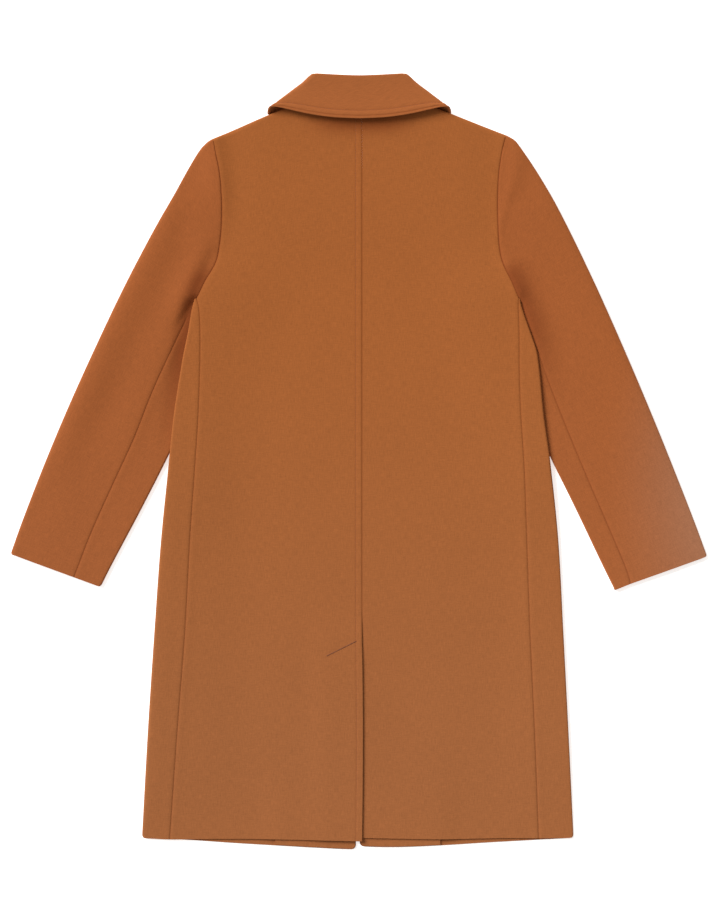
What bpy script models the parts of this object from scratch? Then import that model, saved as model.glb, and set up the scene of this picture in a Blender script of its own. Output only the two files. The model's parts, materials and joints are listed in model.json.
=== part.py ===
"""Knee-length wool overcoat, laid flat with its back up.

Millimetres in the tables, metres in the meshes. X runs across the coat, Y from hem to collar and Z up
from the surface that the coat lies on. The origin is under the middle of its outline. Left and right
are the wearer's, so the left side is at negative X. Half-widths are given outward from the middle.
"""

import math

import bmesh
import bpy
from mathutils import Vector

MM = 0.001
WALL = 2.2              # the woollen cloth, with the interlining behind it
SEAM = 0.3              # between the edges of two pieces at a seam
FLAT = 8.0              # a folded-flat tube of two walls, over its round fold
SLEEVE_FLAT = 7.4       # the same at the sleeves, away from the shoulder
FOLD_STEPS = 6          # facets round a folded edge
SIDES = {"left": -1, "right": 1}

# The middle of the back, the hems and the fronts.
CENTRE_BACK = 4.3
NECK_BACK_Y = 505.0
CENTRE_ROWS_Y = 231.0   # below the armholes the rows of the body lie straight across
FRONT_EDGE = {"left": -4.4, "right": 1.4}
VENT_TOP = -255.0
VENT_UNDERLAY = 42.0    # how far the right back reaches under the left one
UNDERLAY_COLUMNS = 2
VENT_LIFT = WALL + SEAM         # the left back lies on the underlay
VENT_LIFT_BESIDE = (5.0, 45.0)  # full up to 5 mm beside the underlay, and gone from 45 mm
VENT_LIFT_ABOVE = (-7.0, 60.0)  # the same from below the top of the vent to above it
HEM_BEND_Y = -300.0     # the rows below bend more and more into the line of the hem
FACING_COLUMNS = 4
FACING_IN = 1.0         # the facing stops short of the front's edge
FACING_ENDS = (1.0, 1.2)        # and short of the neck and of the hem

# Places along the neck and the shoulder.
NECK_SIDE = (83.0, 511.3)
SHOULDER_TIP = (208.0, 457.0)
SHOULDER_WRAP = 6.0     # the back turns over the shoulder by this much, to a forward seam
NECK_COLUMNS = 4
NECK_CURVE = 1.5        # the back of the neck rises with this power of the way to its side

# How far the coat is lifted where something of its own lies under it. A lift is full up to the first
# place of its span and gone from the second.
SIDE_LIFT = 7.8         # the side edges lie on the sleeves
SIDE_LIFT_IN = (42.0, 95.0)     # inward from the folded edge
SIDE_LIFT_TOP = (228.0, 275.0)  # up to the armhole
SIDE_LIFT_END = (5.0, -70.0)    # down past the elbow
NECK_LIFT = 3.1         # the fronts lie on the turned-down collar
NECK_LIFT_OUT = (138.0, 190.0)  # outward from the middle
NECK_LIFT_END = (360.0, 295.0)  # down from the neck

# Armhole, as half-widths at the back and at the front.
ARMHOLE = (
    # y, left back, right back, front, height of the sleeve's outer fold on the same row
    (457.0, 208.0, 208.0, 208.0, 457.0),
    (442.0, 204.5, 203.5, 201.0, 457.0),
    (410.0, 198.5, 197.5, 190.0, 445.0),
    (374.0, 195.0, 194.5, 184.0, 424.0),
    (340.0, 194.5, 194.5, 182.0, 392.0),
    (306.0, 198.0, 198.0, 182.5, 358.0),
    (281.0, 205.0, 203.5, 185.0, 332.0),
    (256.0, 218.0, 215.0, 190.5, 306.0),
    (231.0, 233.5, 229.0, 203.5, 280.0),
)
FRONT = 3               # columns of the table above
OUTER_Y = 4

# Side panel: its seam with the back, and the folded edge of the body.
SIDE_PANEL = (
    # y, left seam, right seam, left fold, right fold
    (231.0, 233.5, 229.0, 239.8, 236.4),
    (203.0, 228.5, 227.5, 241.5, 239.5),
    (170.0, 227.5, 227.5, 247.0, 249.0),
    (140.0, 227.5, 227.8, 251.5, 255.0),
    (67.0, 229.0, 231.0, 264.0, 263.0),
    (0.0, 233.0, 235.0, 271.0, 271.0),
    (-110.0, 240.0, 238.5, 281.0, 281.0),
    (-240.0, 247.0, 243.0, 289.5, 289.0),
    (-370.0, 257.0, 249.0, 298.5, 295.5),
    (-537.0, 269.0, 255.5, 307.0, 302.5),
)
FRONT_SEAM_IN = 36.0    # the hidden front seam of the side panel, in from the fold

# Hems, as heights at half-widths.
BACK_HEM = (
    # half-width, left, right
    (0.0, -539.6, -535.0),
    (120.0, -537.2, -537.0),
    (210.0, -536.8, -535.6),
    (270.0, -537.4, -534.6),
    (307.0, -534.0, -533.4),
)
FRONT_HEM = (
    # half-width, left, right
    (0.0, -549.6, -545.6),
    (14.0, -550.3, -546.8),
    (55.0, -548.6, -547.8),
    (119.0, -544.8, -545.6),
    (180.0, -542.6, -541.0),
    (235.0, -537.4, -537.6),
    (307.0, -534.0, -533.4),
)

# Sleeve: its outer fold, its inner fold and its seams, as half-widths.
SLEEVE_OUTER = (
    # y, left, right
    (457.0, 208.0, 208.0),
    (449.0, 220.0, 222.0),
    (442.0, 226.0, 230.0),
    (421.0, 240.0, 244.0),
    (378.0, 263.0, 270.0),
    (335.0, 287.0, 293.0),
    (250.0, 332.5, 334.5),
    (165.0, 373.5, 372.0),
    (80.0, 412.0, 409.0),
    (-5.0, 447.0, 443.0),
    (-90.0, 479.5, 475.0),
    (-131.0, 493.2, 493.2),
)
SLEEVE_INNER = (
    # y, left, right
    (213.0, 203.0, 203.0),
    (170.0, 212.0, 212.0),
    (130.0, 222.0, 222.0),
    (57.0, 248.5, 248.0),
    (12.0, 271.0, 271.0),
    (-69.0, 312.5, 309.5),
    (-154.0, 355.5, 350.0),
    (-179.0, 367.5, 362.5),
)
HIND_SEAM = (
    # y, left, right
    (230.5, 234.0, 229.5),
    (200.0, 246.5, 240.0),
    (169.0, 261.0, 249.5),
    (101.0, 292.5, 274.0),
    (33.0, 319.5, 301.0),
    (-35.0, 351.0, 329.5),
    (-103.0, 382.0, 359.0),
    (-158.6, 404.0, 382.0),
    (-172.0, 409.5, 386.0),
)
FOREARM_SEAM = (
    # y, left, right
    (230.5, 204.0, 204.0),
    (200.0, 224.0, 224.0),
    (170.0, 238.0, 238.0),
    (90.0, 264.0, 264.0),
    (12.0, 301.0, 301.0),
    (-69.0, 341.0, 338.0),
    (-168.0, 395.5, 391.0),
)
INNER_FOLD_TOP = (0.5, -0.866)  # the way the hidden top end of the inner fold faces
INNER_FOLD_TURN = 0.25  # it has turned to its own way this far down the sleeve
CUFF_OUTER_Y = {"left": -130.3, "right": -132.7}
CUFF_INNER = {"left": (367.1, -177.1), "right": (362.1, -180.9)}
HIND_SHARE = {"left": 0.705, "right": 0.815}    # where the hind seam meets the cuff
FOREARM_SHARE = 0.775
FOLD_REACH = 4.0        # a fold's direction is taken over this much to each side
TIP_GAP = 0.9           # the sleeve head turns down from the shoulder here, so it keeps more than a seam
SLEEVE_SWELL = 0.9      # the top of a sleeve is this much higher along its middle
SWELL_ROWS = 3          # and comes to it over this many rows from the shoulder
FLATTEN_ROWS = 4        # rows above the underarm over which the sleeve comes to its own flatness
UNDERARM_RISE = 0.5     # share of the body's lift that the sleeve follows at the armhole
ARM_ROWS = len(ARMHOLE) - 2     # rows of a sleeve along the armhole, and on to the cuff
CUFF_ROWS = 9
TOP_COLUMNS = 4
UNDER_COLUMNS = 2

# Rows of the body below the armhole, closer together where it is lifted.
BODY_ROWS = (231, 214, 195, 165, 125, 80, 40, 5, -35, -75, -130, -190, -228, -262, -290, -350, -410,
             -475, -537)
BACK_COLUMNS = (0, 0.1, 0.2, 0.3, 0.4, 0.5, 0.6, 0.7, 0.8, 0.9, 1)
FRONT_COLUMNS = (0, 0.1, 0.2, 0.3, 0.4, 0.55, 0.7, 0.85, 1)

# Collar: three lines round the neck, each from the centre back over its side fold to the front end.
COLLAR_MIDDLE = 1.0
COLLAR_LINES = {
    # centre back y, side fold, front end, bow of the front stretch
    "neck": (NECK_BACK_Y, NECK_SIDE, (4.5, 416.5), 13.0),
    "roll": (547.6, (66.0, 549.2), (4.5, 444.0), 5.0),
    "edge": (485.8, (130.0, 502.5), (48.0, 366.0), -4.0),
}
COLLAR_STATIONS = 4     # stretches on each side, at the back and again at the front
ROLL_FACING = (0.72, 0.69)      # the way the side folds face, at the roll and at the outer edge
EDGE_FACING = (0.61, 0.79)
STAND_HEIGHT = 43.0
FALL_HEIGHT = 63.0
NECK_GAP = 0.6          # the stand turns a corner here, so it keeps a little more than a seam
NECK_END_DROP = 3.0     # the front edge starts this far below the end of the stand
STAND_GAP = 1.4         # between the stand and the fall, whose walls lean together at the side folds
STAND_SEAM_DROP = 11.0  # the seam between stand and fall lies this far below the roll
FALL_REACH = 3.1        # the fall's outer face stands this far outside the stand's
EDGE_LIFT = 2.6         # the outer edge of the fall stands off the back
FALL_LEVELS = (0.3, 0.65, 1.0)  # rows of the fall, from the roll at 0 to the outer edge at 1
STAND_MIDDLE = -0.65            # the row of the stand between its two seams, from the neck at -1
ROLL_STEPS = 4          # facets round the roll

COLOURS = {
    "body": (0.395, 0.130, 0.036, 1.0),
    "side": (0.375, 0.123, 0.035, 1.0),
    "sleeve": (0.370, 0.115, 0.032, 1.0),
    "collar": (0.405, 0.128, 0.037, 1.0),
    "inside": (0.340, 0.108, 0.031, 1.0),
}


# ---------------------------------------------------------------- curves and heights

def ramp(start, end, value):
    """0 up to start, 1 from end on, and a smooth rise between them."""
    t = min(1.0, max(0.0, (value - start) / (end - start)))
    return t * t * (3.0 - 2.0 * t)


def read(table, value, column, key=0):
    """A smooth curve through a table's rows, read at a value of its key column."""
    rows = sorted(table, key=lambda row: row[key])
    keys = [row[key] for row in rows]
    marks = [row[column] for row in rows]
    if value <= keys[0]:
        return marks[0]
    if value >= keys[-1]:
        return marks[-1]
    low = max(n for n in range(len(keys) - 1) if keys[n] <= value)
    slopes = [(marks[n + 1] - marks[n]) / (keys[n + 1] - keys[n]) for n in range(len(keys) - 1)]

    def tangent(n):
        if n == 0:
            return slopes[0]
        if n == len(keys) - 1:
            return slopes[-1]
        return (slopes[n - 1] + slopes[n]) / 2.0

    width = keys[low + 1] - keys[low]
    t = (value - keys[low]) / width
    return ((2 * t ** 3 - 3 * t ** 2 + 1) * marks[low] + (t ** 3 - 2 * t ** 2 + t) * width * tangent(low)
            + (3 * t ** 2 - 2 * t ** 3) * marks[low + 1] + (t ** 3 - t ** 2) * width * tangent(low + 1))


def mix(a, b, t):
    return Vector(a) * (1.0 - t) + Vector(b) * t


def patch(u, v, start, end, near, far):
    """A point of the surface between four plan curves: near and far run along v, start and end along u."""
    across = mix(start(u), end(u), v)
    along = mix(near(v), far(v), u)
    corners = mix(mix(start(0.0), start(1.0), u), mix(end(0.0), end(1.0), u), v)
    return across + along - corners


def fade(span, value):
    """1 up to the first value of the span and 0 from the second, whichever way the span runs."""
    return 1.0 - ramp(span[0], span[1], value)


def column_of(side, left, right):
    return left if side == "left" else right


def side_fold(side, y):
    return read(SIDE_PANEL, y, column_of(side, 3, 4))


def side_seam(side, y):
    return read(SIDE_PANEL, y, column_of(side, 1, 2))


def ground(x, y):
    """How high the underside of the body lies over the surface."""
    side = "left" if x < 0 else "right"
    beside = fade(SIDE_LIFT_IN, side_fold(side, y) - abs(x))
    along = fade(SIDE_LIFT_TOP, y) * fade(SIDE_LIFT_END, y)
    round_neck = fade(NECK_LIFT_OUT, abs(x - COLLAR_MIDDLE)) * fade(NECK_LIFT_END, y)
    return SIDE_LIFT * beside * along + NECK_LIFT * round_neck


def vent_lift(x, y):
    """How far the left back rises at the vent, to lie on the underlay."""
    beside = fade(VENT_LIFT_BESIDE, CENTRE_BACK - VENT_UNDERLAY - x)
    return VENT_LIFT * beside * fade(VENT_LIFT_ABOVE, y - VENT_TOP)


def round_fold(tip, normal, angle, low, high):
    """A point round a folded edge; 90 degrees is its top, 0 its outermost line and -90 its underside."""
    radius = (high - low) / 2.0
    centre = Vector(tip) - Vector(normal) * radius
    plan = centre + Vector(normal) * radius * math.cos(math.radians(angle))
    return Vector((plan.x, plan.y, low + radius + radius * math.sin(math.radians(angle))))


def fold_angles():
    return [90.0 - 180.0 * n / FOLD_STEPS for n in range(FOLD_STEPS + 1)]


def mirrored(side, half, y):
    return Vector((SIDES[side] * half, y))


# ---------------------------------------------------------------- making the pieces

def material_for(name, colour):
    cloth = bpy.data.materials.new(name)
    cloth.use_nodes = True
    shader = cloth.node_tree.nodes["Principled BSDF"]
    shader.inputs["Base Color"].default_value = COLOURS[colour]
    shader.inputs["Roughness"].default_value = 0.92
    shader.inputs["Metallic"].default_value = 0.0
    cloth.diffuse_color = COLOURS[colour]
    return cloth


def cloth_piece(collection, name, colour, columns, rows, place, turned=False, missing=None):
    """A cut piece: a grid whose corners go where place(column, row) says, with the wall behind it."""
    mesh = bmesh.new()
    bmesh.ops.create_grid(mesh, x_segments=columns, y_segments=rows, size=0.5)
    spots = {corner: (round((corner.co.x + 0.5) * columns), round((corner.co.y + 0.5) * rows))
             for corner in mesh.verts}
    if missing:
        unwanted = [face for face in mesh.faces
                    if missing(min(spots[c][0] for c in face.verts), min(spots[c][1] for c in face.verts))]
        bmesh.ops.delete(mesh, geom=unwanted, context="FACES")
    for corner in mesh.verts:
        corner.co = place(*spots[corner]) * MM
    if turned:
        bmesh.ops.reverse_faces(mesh, faces=mesh.faces)
    data = bpy.data.meshes.new(name)
    mesh.to_mesh(data)
    mesh.free()
    data.shade_smooth()
    data.materials.append(material_for(name + "_wool", colour))
    piece = bpy.data.objects.new(name, data)
    collection.objects.link(piece)
    wall = piece.modifiers.new("wall", "SOLIDIFY")
    wall.thickness = WALL * MM
    wall.offset = -1.0
    return piece


# ---------------------------------------------------------------- body

def shoulder_frame(side):
    """The shoulder's end points in plan and its outward normal."""
    neck = mirrored(side, *NECK_SIDE) + Vector((COLLAR_MIDDLE, 0.0))
    tip = mirrored(side, *SHOULDER_TIP)
    along = (tip - neck).normalized()
    normal = Vector((-along.y, along.x)) * SIDES[side]
    return neck, tip, normal


def neck_and_shoulder(side, u, inset):
    """The upper edge of a back, from the centre over the neck side to the shoulder tip."""
    neck, tip, normal = shoulder_frame(side)
    share = BACK_COLUMNS[NECK_COLUMNS]
    if u < share:
        t = u / share
        x = CENTRE_BACK + (neck.x - CENTRE_BACK) * t
        y = NECK_BACK_Y + (neck.y - NECK_BACK_Y) * t ** NECK_CURVE
        return Vector((x, y)) - normal * inset * t
    return mix(neck, tip, (u - share) / (1.0 - share)) - normal * inset


def armhole(side, t, column, gap, start_in=FLAT / 2.0):
    """A point of the armhole, from start_in behind the shoulder tip at 0 to the underarm at 1."""
    neck, tip, normal = shoulder_frame(side)
    place = t * (len(ARMHOLE) - 1)
    row = min(int(place), len(ARMHOLE) - 2)
    here = mirrored(side, ARMHOLE[row][column], ARMHOLE[row][0])
    there = mirrored(side, ARMHOLE[row + 1][column], ARMHOLE[row + 1][0])
    if row == 0:
        here = tip - normal * start_in
    point = mix(here, there, place - row)
    return Vector((point.x + SIDES[side] * gap, point.y))


def hem_shift(table, side, x, y):
    """How far a point of a row moves along the coat, for the last row to lie on the hem."""
    return (read(table, abs(x), column_of(side, 1, 2)) - BODY_ROWS[-1]) * ramp(HEM_BEND_Y, BODY_ROWS[-1], y)


def body_rows():
    """Row by row: the share of the armhole passed, and the height once below it."""
    arm = [(n / (len(ARMHOLE) - 1), None) for n in range(len(ARMHOLE) - 1)]
    return arm + [(1.0, y) for y in BODY_ROWS]


def body_point(side, u, row, centre, top, arm_column, lower_edge, hem_table, start_in=FLAT / 2.0):
    """The plan point of a back or front panel at a share u from its centre edge, on a row."""
    passed, height = body_rows()[row]
    if height is None:
        def middle(v):
            start = top(0.0)
            return Vector((start.x, start.y + (CENTRE_ROWS_Y - start.y) * v))

        def straight(share):
            outer = armhole(side, 1.0, arm_column, -SEAM / 2.0)
            return mix((middle(1.0).x, CENTRE_ROWS_Y), outer, share)

        def outer_edge(v):
            return armhole(side, v, arm_column, -SEAM / 2.0, start_in)
        return patch(u, passed, top, straight, middle, outer_edge)
    outer = SIDES[side] * lower_edge(height)
    x = centre + (outer - centre) * u
    return Vector((x, height + hem_shift(hem_table, side, x, height)))


def back_place(side):
    """The back's points: rows 0 to 6 turn over the shoulder, the rest lie on top."""
    normal = shoulder_frame(side)[2]
    wrap = FOLD_STEPS + 1
    centre = CENTRE_BACK + SIDES[side] * SEAM / 2.0

    def top(u):
        point = neck_and_shoulder(side, u, FLAT / 2.0)
        point.x += SIDES[side] * SEAM / 2.0 * (1.0 - u)
        return point

    def lower_edge(y):
        return side_seam(side, y) - SEAM / 2.0

    def place(column, row):
        u = BACK_COLUMNS[column]
        if row < wrap:
            edge = neck_and_shoulder(side, u, 0.0)
            low = ground(edge.x, edge.y)
            if row == 0:
                point = round_fold(edge, normal, -90.0, low, low + FLAT)
                outward = SIDES[side] * SEAM if column == NECK_COLUMNS else 0.0
                return Vector((point.x - normal.x * SHOULDER_WRAP + outward,
                               point.y - normal.y * SHOULDER_WRAP, point.z))
            return round_fold(edge, normal, -90.0 + 180.0 * (row - 1) / FOLD_STEPS, low, low + FLAT)
        plan = body_point(side, u, row - wrap, centre, top, column_of(side, 1, 2), lower_edge, BACK_HEM)
        if row == wrap and column < NECK_COLUMNS:
            plan = top(u)
        rise = vent_lift(plan.x, plan.y) if side == "left" else 0.0
        return Vector((plan.x, plan.y, ground(plan.x, plan.y) + FLAT + rise))
    return place


def back(collection, side):
    wrap = FOLD_STEPS + 1
    rows = wrap + len(body_rows()) - 1
    place = back_place(side)
    underlay = UNDERLAY_COLUMNS if side == "right" else 0
    vent_row = wrap + len(ARMHOLE) - 1 + sum(1 for y in BODY_ROWS if y >= VENT_TOP)

    def with_underlay(column, row):
        if column >= underlay:
            return place(column - underlay, row)
        seam_point = place(0, row)
        return Vector((seam_point.x - VENT_UNDERLAY * (underlay - column) / underlay, seam_point.y,
                       seam_point.z))

    def missing(column, row):
        if column < underlay:
            return row < vent_row
        return row < wrap and column - underlay < NECK_COLUMNS

    return cloth_piece(collection, "back_" + side, "body", len(BACK_COLUMNS) - 1 + underlay, rows,
                       with_underlay, turned=(side == "right"), missing=missing)


def neck_front(t):
    """The front neck seam as a half-width and a height, from the neck side at 0 to the front at 1."""
    point = collar_line("neck", 1.0 + t)
    return point.x, point.y


def front_place(side, lift=0.0):
    """The front's points on its outer face, which lies on the surface; lift moves them inward."""
    neck, tip, normal = shoulder_frame(side)
    share = FRONT_COLUMNS[NECK_COLUMNS]
    edge = FRONT_EDGE[side]
    shoulder_in = FLAT / 2.0 + SHOULDER_WRAP + SEAM

    def top(u):
        if u == 0.0:
            return Vector((edge, neck_front(1.0)[1] - NECK_END_DROP))
        if u < share:
            half, y = neck_front(1.0 - u / share)
            return Vector((SIDES[side] * half + COLLAR_MIDDLE, y))
        point = mix(neck, tip, (u - share) / (1.0 - share)) - normal * shoulder_in
        inward = SEAM if u == 1.0 else 0.0
        outward = NECK_GAP if u == share else 0.0
        return Vector((point.x + SIDES[side] * (outward - inward), point.y))

    def lower_edge(y):
        return side_fold(side, y) - FRONT_SEAM_IN - SEAM / 2.0

    def place(column, row):
        u = FRONT_COLUMNS[column]
        plan = body_point(side, u, row, edge, top, 3, lower_edge, FRONT_HEM, shoulder_in)
        return Vector((plan.x, plan.y, ground(plan.x, plan.y) + lift))
    return place


def front(collection, side):
    return cloth_piece(collection, "front_" + side, "body", len(FRONT_COLUMNS) - 1, len(body_rows()) - 1,
                       front_place(side), turned=(side == "left"))


def facing(collection, side):
    """The facing lies on the inside of the front, from the hem to the neck."""
    place = front_place(side, lift=WALL + SEAM + WALL)
    last = len(body_rows()) - 1

    def inside(column, row):
        point = place(column, row)
        if column == 0:
            point = point + (place(1, row) - point).normalized() * FACING_IN
        if row == 0:
            point.y -= FACING_ENDS[0]
        if row == last:
            point.y += FACING_ENDS[1]
        return point
    return cloth_piece(collection, "facing_" + side, "inside", FACING_COLUMNS, last, inside,
                       turned=(side == "right"))


def side_panel(collection, side):
    """The side panel: on top from the back seam, round the folded edge, and under to the front seam."""
    flat = 2
    heights = BODY_ROWS

    def place(column, row):
        y = heights[row]
        tip = mirrored(side, side_fold(side, y), y)
        radius = FLAT / 2.0
        seam = side_seam(side, y) + SEAM / 2.0
        front_seam = side_fold(side, y) - FRONT_SEAM_IN + SEAM / 2.0
        fold_start = side_fold(side, y) - radius
        normal = Vector((SIDES[side], 0.0))
        if column < flat:
            half = seam + (fold_start - seam) * column / flat
            point = mirrored(side, half, y)
            table, high = BACK_HEM, FLAT
        elif column > flat + FOLD_STEPS:
            half = fold_start + (front_seam - fold_start) * (column - flat - FOLD_STEPS) / flat
            point = mirrored(side, half, y)
            table, high = FRONT_HEM, 0.0
        else:
            angle = fold_angles()[column - flat]
            low = ground(tip.x, tip.y)
            spot = round_fold(tip, normal, angle, low, low + FLAT)
            spot.y += hem_shift(BACK_HEM, side, spot.x, y)
            return spot
        y_here = y + hem_shift(table, side, point.x, y)
        return Vector((point.x, y_here, ground(point.x, y_here) + high))
    return cloth_piece(collection, "side_" + side, "side", 2 * flat + FOLD_STEPS, len(heights) - 1, place,
                       turned=(side == "right"))


# ---------------------------------------------------------------- sleeves

def sleeve_share(row):
    """How far a row below the underarm is on its way to the cuff."""
    return max(0.0, (row - ARM_ROWS) / CUFF_ROWS)


def down_to(top_y, cuff_y, row):
    return top_y + (cuff_y - top_y) * sleeve_share(row)


def facing_out(table, side, y, toward):
    """The plan normal of a fold that the table gives; toward is 1 for outward, -1 for inward."""
    column = column_of(side, 1, 2)
    above = mirrored(side, read(table, y + FOLD_REACH, column), y + FOLD_REACH)
    below = mirrored(side, read(table, y - FOLD_REACH, column), y - FOLD_REACH)
    along = (below - above).normalized()
    return Vector((-along.y, along.x)) * SIDES[side] * toward


def outer_fold(side, row):
    """The outer fold of a sleeve on a row: its outermost point and its outward normal."""
    if row <= ARM_ROWS:
        y = ARMHOLE[row + 1][OUTER_Y]
    else:
        y = down_to(ARMHOLE[-1][OUTER_Y], CUFF_OUTER_Y[side], row)
    tip = mirrored(side, read(SLEEVE_OUTER, y, column_of(side, 1, 2)), y)
    if row == 0:
        return Vector((tip.x + SIDES[side] * TIP_GAP, tip.y)), shoulder_frame(side)[2]
    return tip, facing_out(SLEEVE_OUTER, side, y, 1.0)


def inner_fold(side, row):
    """The inner fold on a row; its top end is tucked under the body and faces down."""
    y = down_to(SLEEVE_INNER[0][0], CUFF_INNER[side][1], row)
    tip = mirrored(side, read(SLEEVE_INNER, y, column_of(side, 1, 2)), y)
    straight = facing_out(SLEEVE_INNER, side, y, -1.0)
    at_top = Vector((-SIDES[side] * INNER_FOLD_TOP[0], INNER_FOLD_TOP[1]))
    return tip, mix(at_top, straight, ramp(0.0, INNER_FOLD_TURN, sleeve_share(row))).normalized()


def cuff_point(side, share):
    """A point of the cuff's edge, from the outer corner at 0 to the inner one at 1."""
    outer = read(SLEEVE_OUTER, CUFF_OUTER_Y[side], column_of(side, 1, 2))
    return mix(mirrored(side, outer, CUFF_OUTER_Y[side]), mirrored(side, *CUFF_INNER[side]), share)


def sleeve_seam(side, table, cuff_share, row, outward):
    """A lengthwise seam below the armhole, moved outward by the given amount."""
    end = cuff_point(side, cuff_share)
    y = down_to(table[0][0], end.y, row)
    column = column_of(side, 1, 2)
    drift = SIDES[side] * end.x - read(table, end.y, column)
    return mirrored(side, read(table, y, column) + drift * sleeve_share(row) ** 3 + outward, y)


def hind_edge(side, row):
    """The top sleeve's edge on top: along the back armhole, then down the hind seam."""
    if row <= ARM_ROWS:
        return armhole(side, (row + 1) / (len(ARMHOLE) - 1), column_of(side, 1, 2), SEAM)
    return sleeve_seam(side, HIND_SEAM, HIND_SHARE[side], row, SEAM / 2.0)


def forearm_edge(side, row):
    """The top sleeve's edge underneath: along the front armhole, then down the forearm seam."""
    if row <= ARM_ROWS:
        return armhole(side, (row + 1) / (len(ARMHOLE) - 1), FRONT, SEAM)
    return sleeve_seam(side, FOREARM_SEAM, FOREARM_SHARE, row, SEAM / 2.0)


def sleeve_height(row):
    """The flattened thickness of a sleeve: the body's at the shoulder, less from the underarm down."""
    return FLAT + (SLEEVE_FLAT - FLAT) * ramp(ARM_ROWS - FLATTEN_ROWS, ARM_ROWS, row)


def top_sleeve(collection, side):
    """The top sleeve: from the hind edge over the top, round the outer fold and under."""
    def place(column, row):
        height = sleeve_height(row)
        tip, normal = outer_fold(side, row)
        axis = tip - normal * height / 2.0
        if column < TOP_COLUMNS:
            u = column / TOP_COLUMNS
            plan = mix(hind_edge(side, row), axis, u)
            swell = SLEEVE_SWELL * math.sin(math.pi * u) * ramp(0.0, SWELL_ROWS, row)
            rise = 0.0
            if row < ARM_ROWS:
                rise = UNDERARM_RISE * ground(*armhole(side, (row + 1) / (len(ARMHOLE) - 1), 1, 0.0))
            return Vector((plan.x, plan.y, height + swell + rise * (1.0 - u) ** 2))
        if column > TOP_COLUMNS + FOLD_STEPS:
            u = (column - TOP_COLUMNS - FOLD_STEPS) / UNDER_COLUMNS
            plan = mix(axis, forearm_edge(side, row), u)
            return Vector((plan.x, plan.y, 0.0))
        return round_fold(tip, normal, fold_angles()[column - TOP_COLUMNS], 0.0, height)
    return cloth_piece(collection, "sleeve_%s_top" % side, "sleeve",
                       TOP_COLUMNS + FOLD_STEPS + UNDER_COLUMNS, ARM_ROWS + CUFF_ROWS, place,
                       turned=(side == "right"))


def under_sleeve(collection, side):
    """The under sleeve: from the hind seam, round the inner fold, under to the forearm seam."""
    def place(column, row):
        row = row + ARM_ROWS
        height = SLEEVE_FLAT
        tip, normal = inner_fold(side, row)
        axis = tip - normal * height / 2.0
        if column < UNDER_COLUMNS:
            edge = sleeve_seam(side, HIND_SEAM, HIND_SHARE[side], row, -SEAM / 2.0)
            plan = mix(edge, axis, column / UNDER_COLUMNS)
            return Vector((plan.x, plan.y, height))
        if column > UNDER_COLUMNS + FOLD_STEPS:
            edge = sleeve_seam(side, FOREARM_SEAM, FOREARM_SHARE, row, -SEAM / 2.0)
            plan = mix(axis, edge, (column - UNDER_COLUMNS - FOLD_STEPS) / UNDER_COLUMNS)
            return Vector((plan.x, plan.y, 0.0))
        return round_fold(tip, normal, fold_angles()[column - UNDER_COLUMNS], 0.0, height)
    return cloth_piece(collection, "sleeve_%s_under" % side, "sleeve", 2 * UNDER_COLUMNS + FOLD_STEPS,
                       CUFF_ROWS, place, turned=(side == "left"))


# ---------------------------------------------------------------- collar

def collar_line(name, q):
    """A half-line of the collar: q runs 0 to 1 along the back to the side fold, 1 to 2 along the front."""
    back_y, fold, end, bow = COLLAR_LINES[name]
    if q <= 1.0:
        return Vector((fold[0] * q, back_y + (fold[1] - back_y) * q ** NECK_CURVE))
    t = q - 1.0
    chord = Vector(end) - Vector(fold)
    outward = Vector((chord.y, -chord.x)).normalized()
    if outward.y > 0:
        outward = -outward
    return Vector(fold) + chord * t + outward * bow * math.sin(math.pi * t)


def collar_stations():
    """Stations round the neck as (side, q, angle), from the left front end over the back to the right."""
    half = [(q / COLLAR_STATIONS, 90.0) for q in range(1, COLLAR_STATIONS)]
    half += [(1.0, angle) for angle in fold_angles()]
    half += [(1.0 + q / COLLAR_STATIONS, -90.0) for q in range(1, COLLAR_STATIONS + 1)]
    left = [("left", q, angle) for q, angle in reversed(half)]
    return left + [("left", 0.0, 90.0)] + [("right", q, angle) for q, angle in half]


def fold_normal(side, level):
    """The way the side fold faces at a level: -1 at the neck seam, 0 at the roll, 1 at the outer edge."""
    neck = shoulder_frame(side)[2]
    roll = Vector((SIDES[side] * ROLL_FACING[0], ROLL_FACING[1]))
    edge = Vector((SIDES[side] * EDGE_FACING[0], EDGE_FACING[1]))
    if level < 0.0:
        return mix(roll, neck, -level).normalized()
    return mix(roll, edge, level).normalized()


def collar_point(side, q, angle, level, reach):
    """A point of the collar at a station, a level and a distance from the middle of its flat tube."""
    low, high, share = ("neck", "roll", level + 1.0) if level < 0.0 else ("roll", "edge", level)
    plan = mix(collar_line(low, q), collar_line(high, q), share)
    plan = Vector((COLLAR_MIDDLE + SIDES[side] * plan.x, plan.y))
    middle = NECK_LIFT + FLAT / 2.0
    if q == 1.0:
        normal = fold_normal(side, level)
        centre = plan - normal * (FLAT / 2.0 + FALL_REACH * ramp(0.0, FALL_LEVELS[0], level))
        turn = math.radians(angle)
        spot = centre + normal * reach * math.cos(turn)
        return Vector((spot.x, spot.y, middle + reach * math.sin(turn)))
    return Vector((plan.x, plan.y, middle + reach * (1.0 if angle > 0.0 else -1.0)))


def collar_stand(collection):
    """The stand: from the neck seam up to just below the roll."""
    stations = collar_stations()
    levels = (-1.0 + NECK_GAP / STAND_HEIGHT, STAND_MIDDLE, -STAND_SEAM_DROP / STAND_HEIGHT)

    def place(column, row):
        side, q, angle = stations[column]
        return collar_point(side, q, angle, levels[row], FLAT / 2.0)
    return cloth_piece(collection, "collar_stand", "collar", len(stations) - 1, len(levels) - 1, place)


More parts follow.
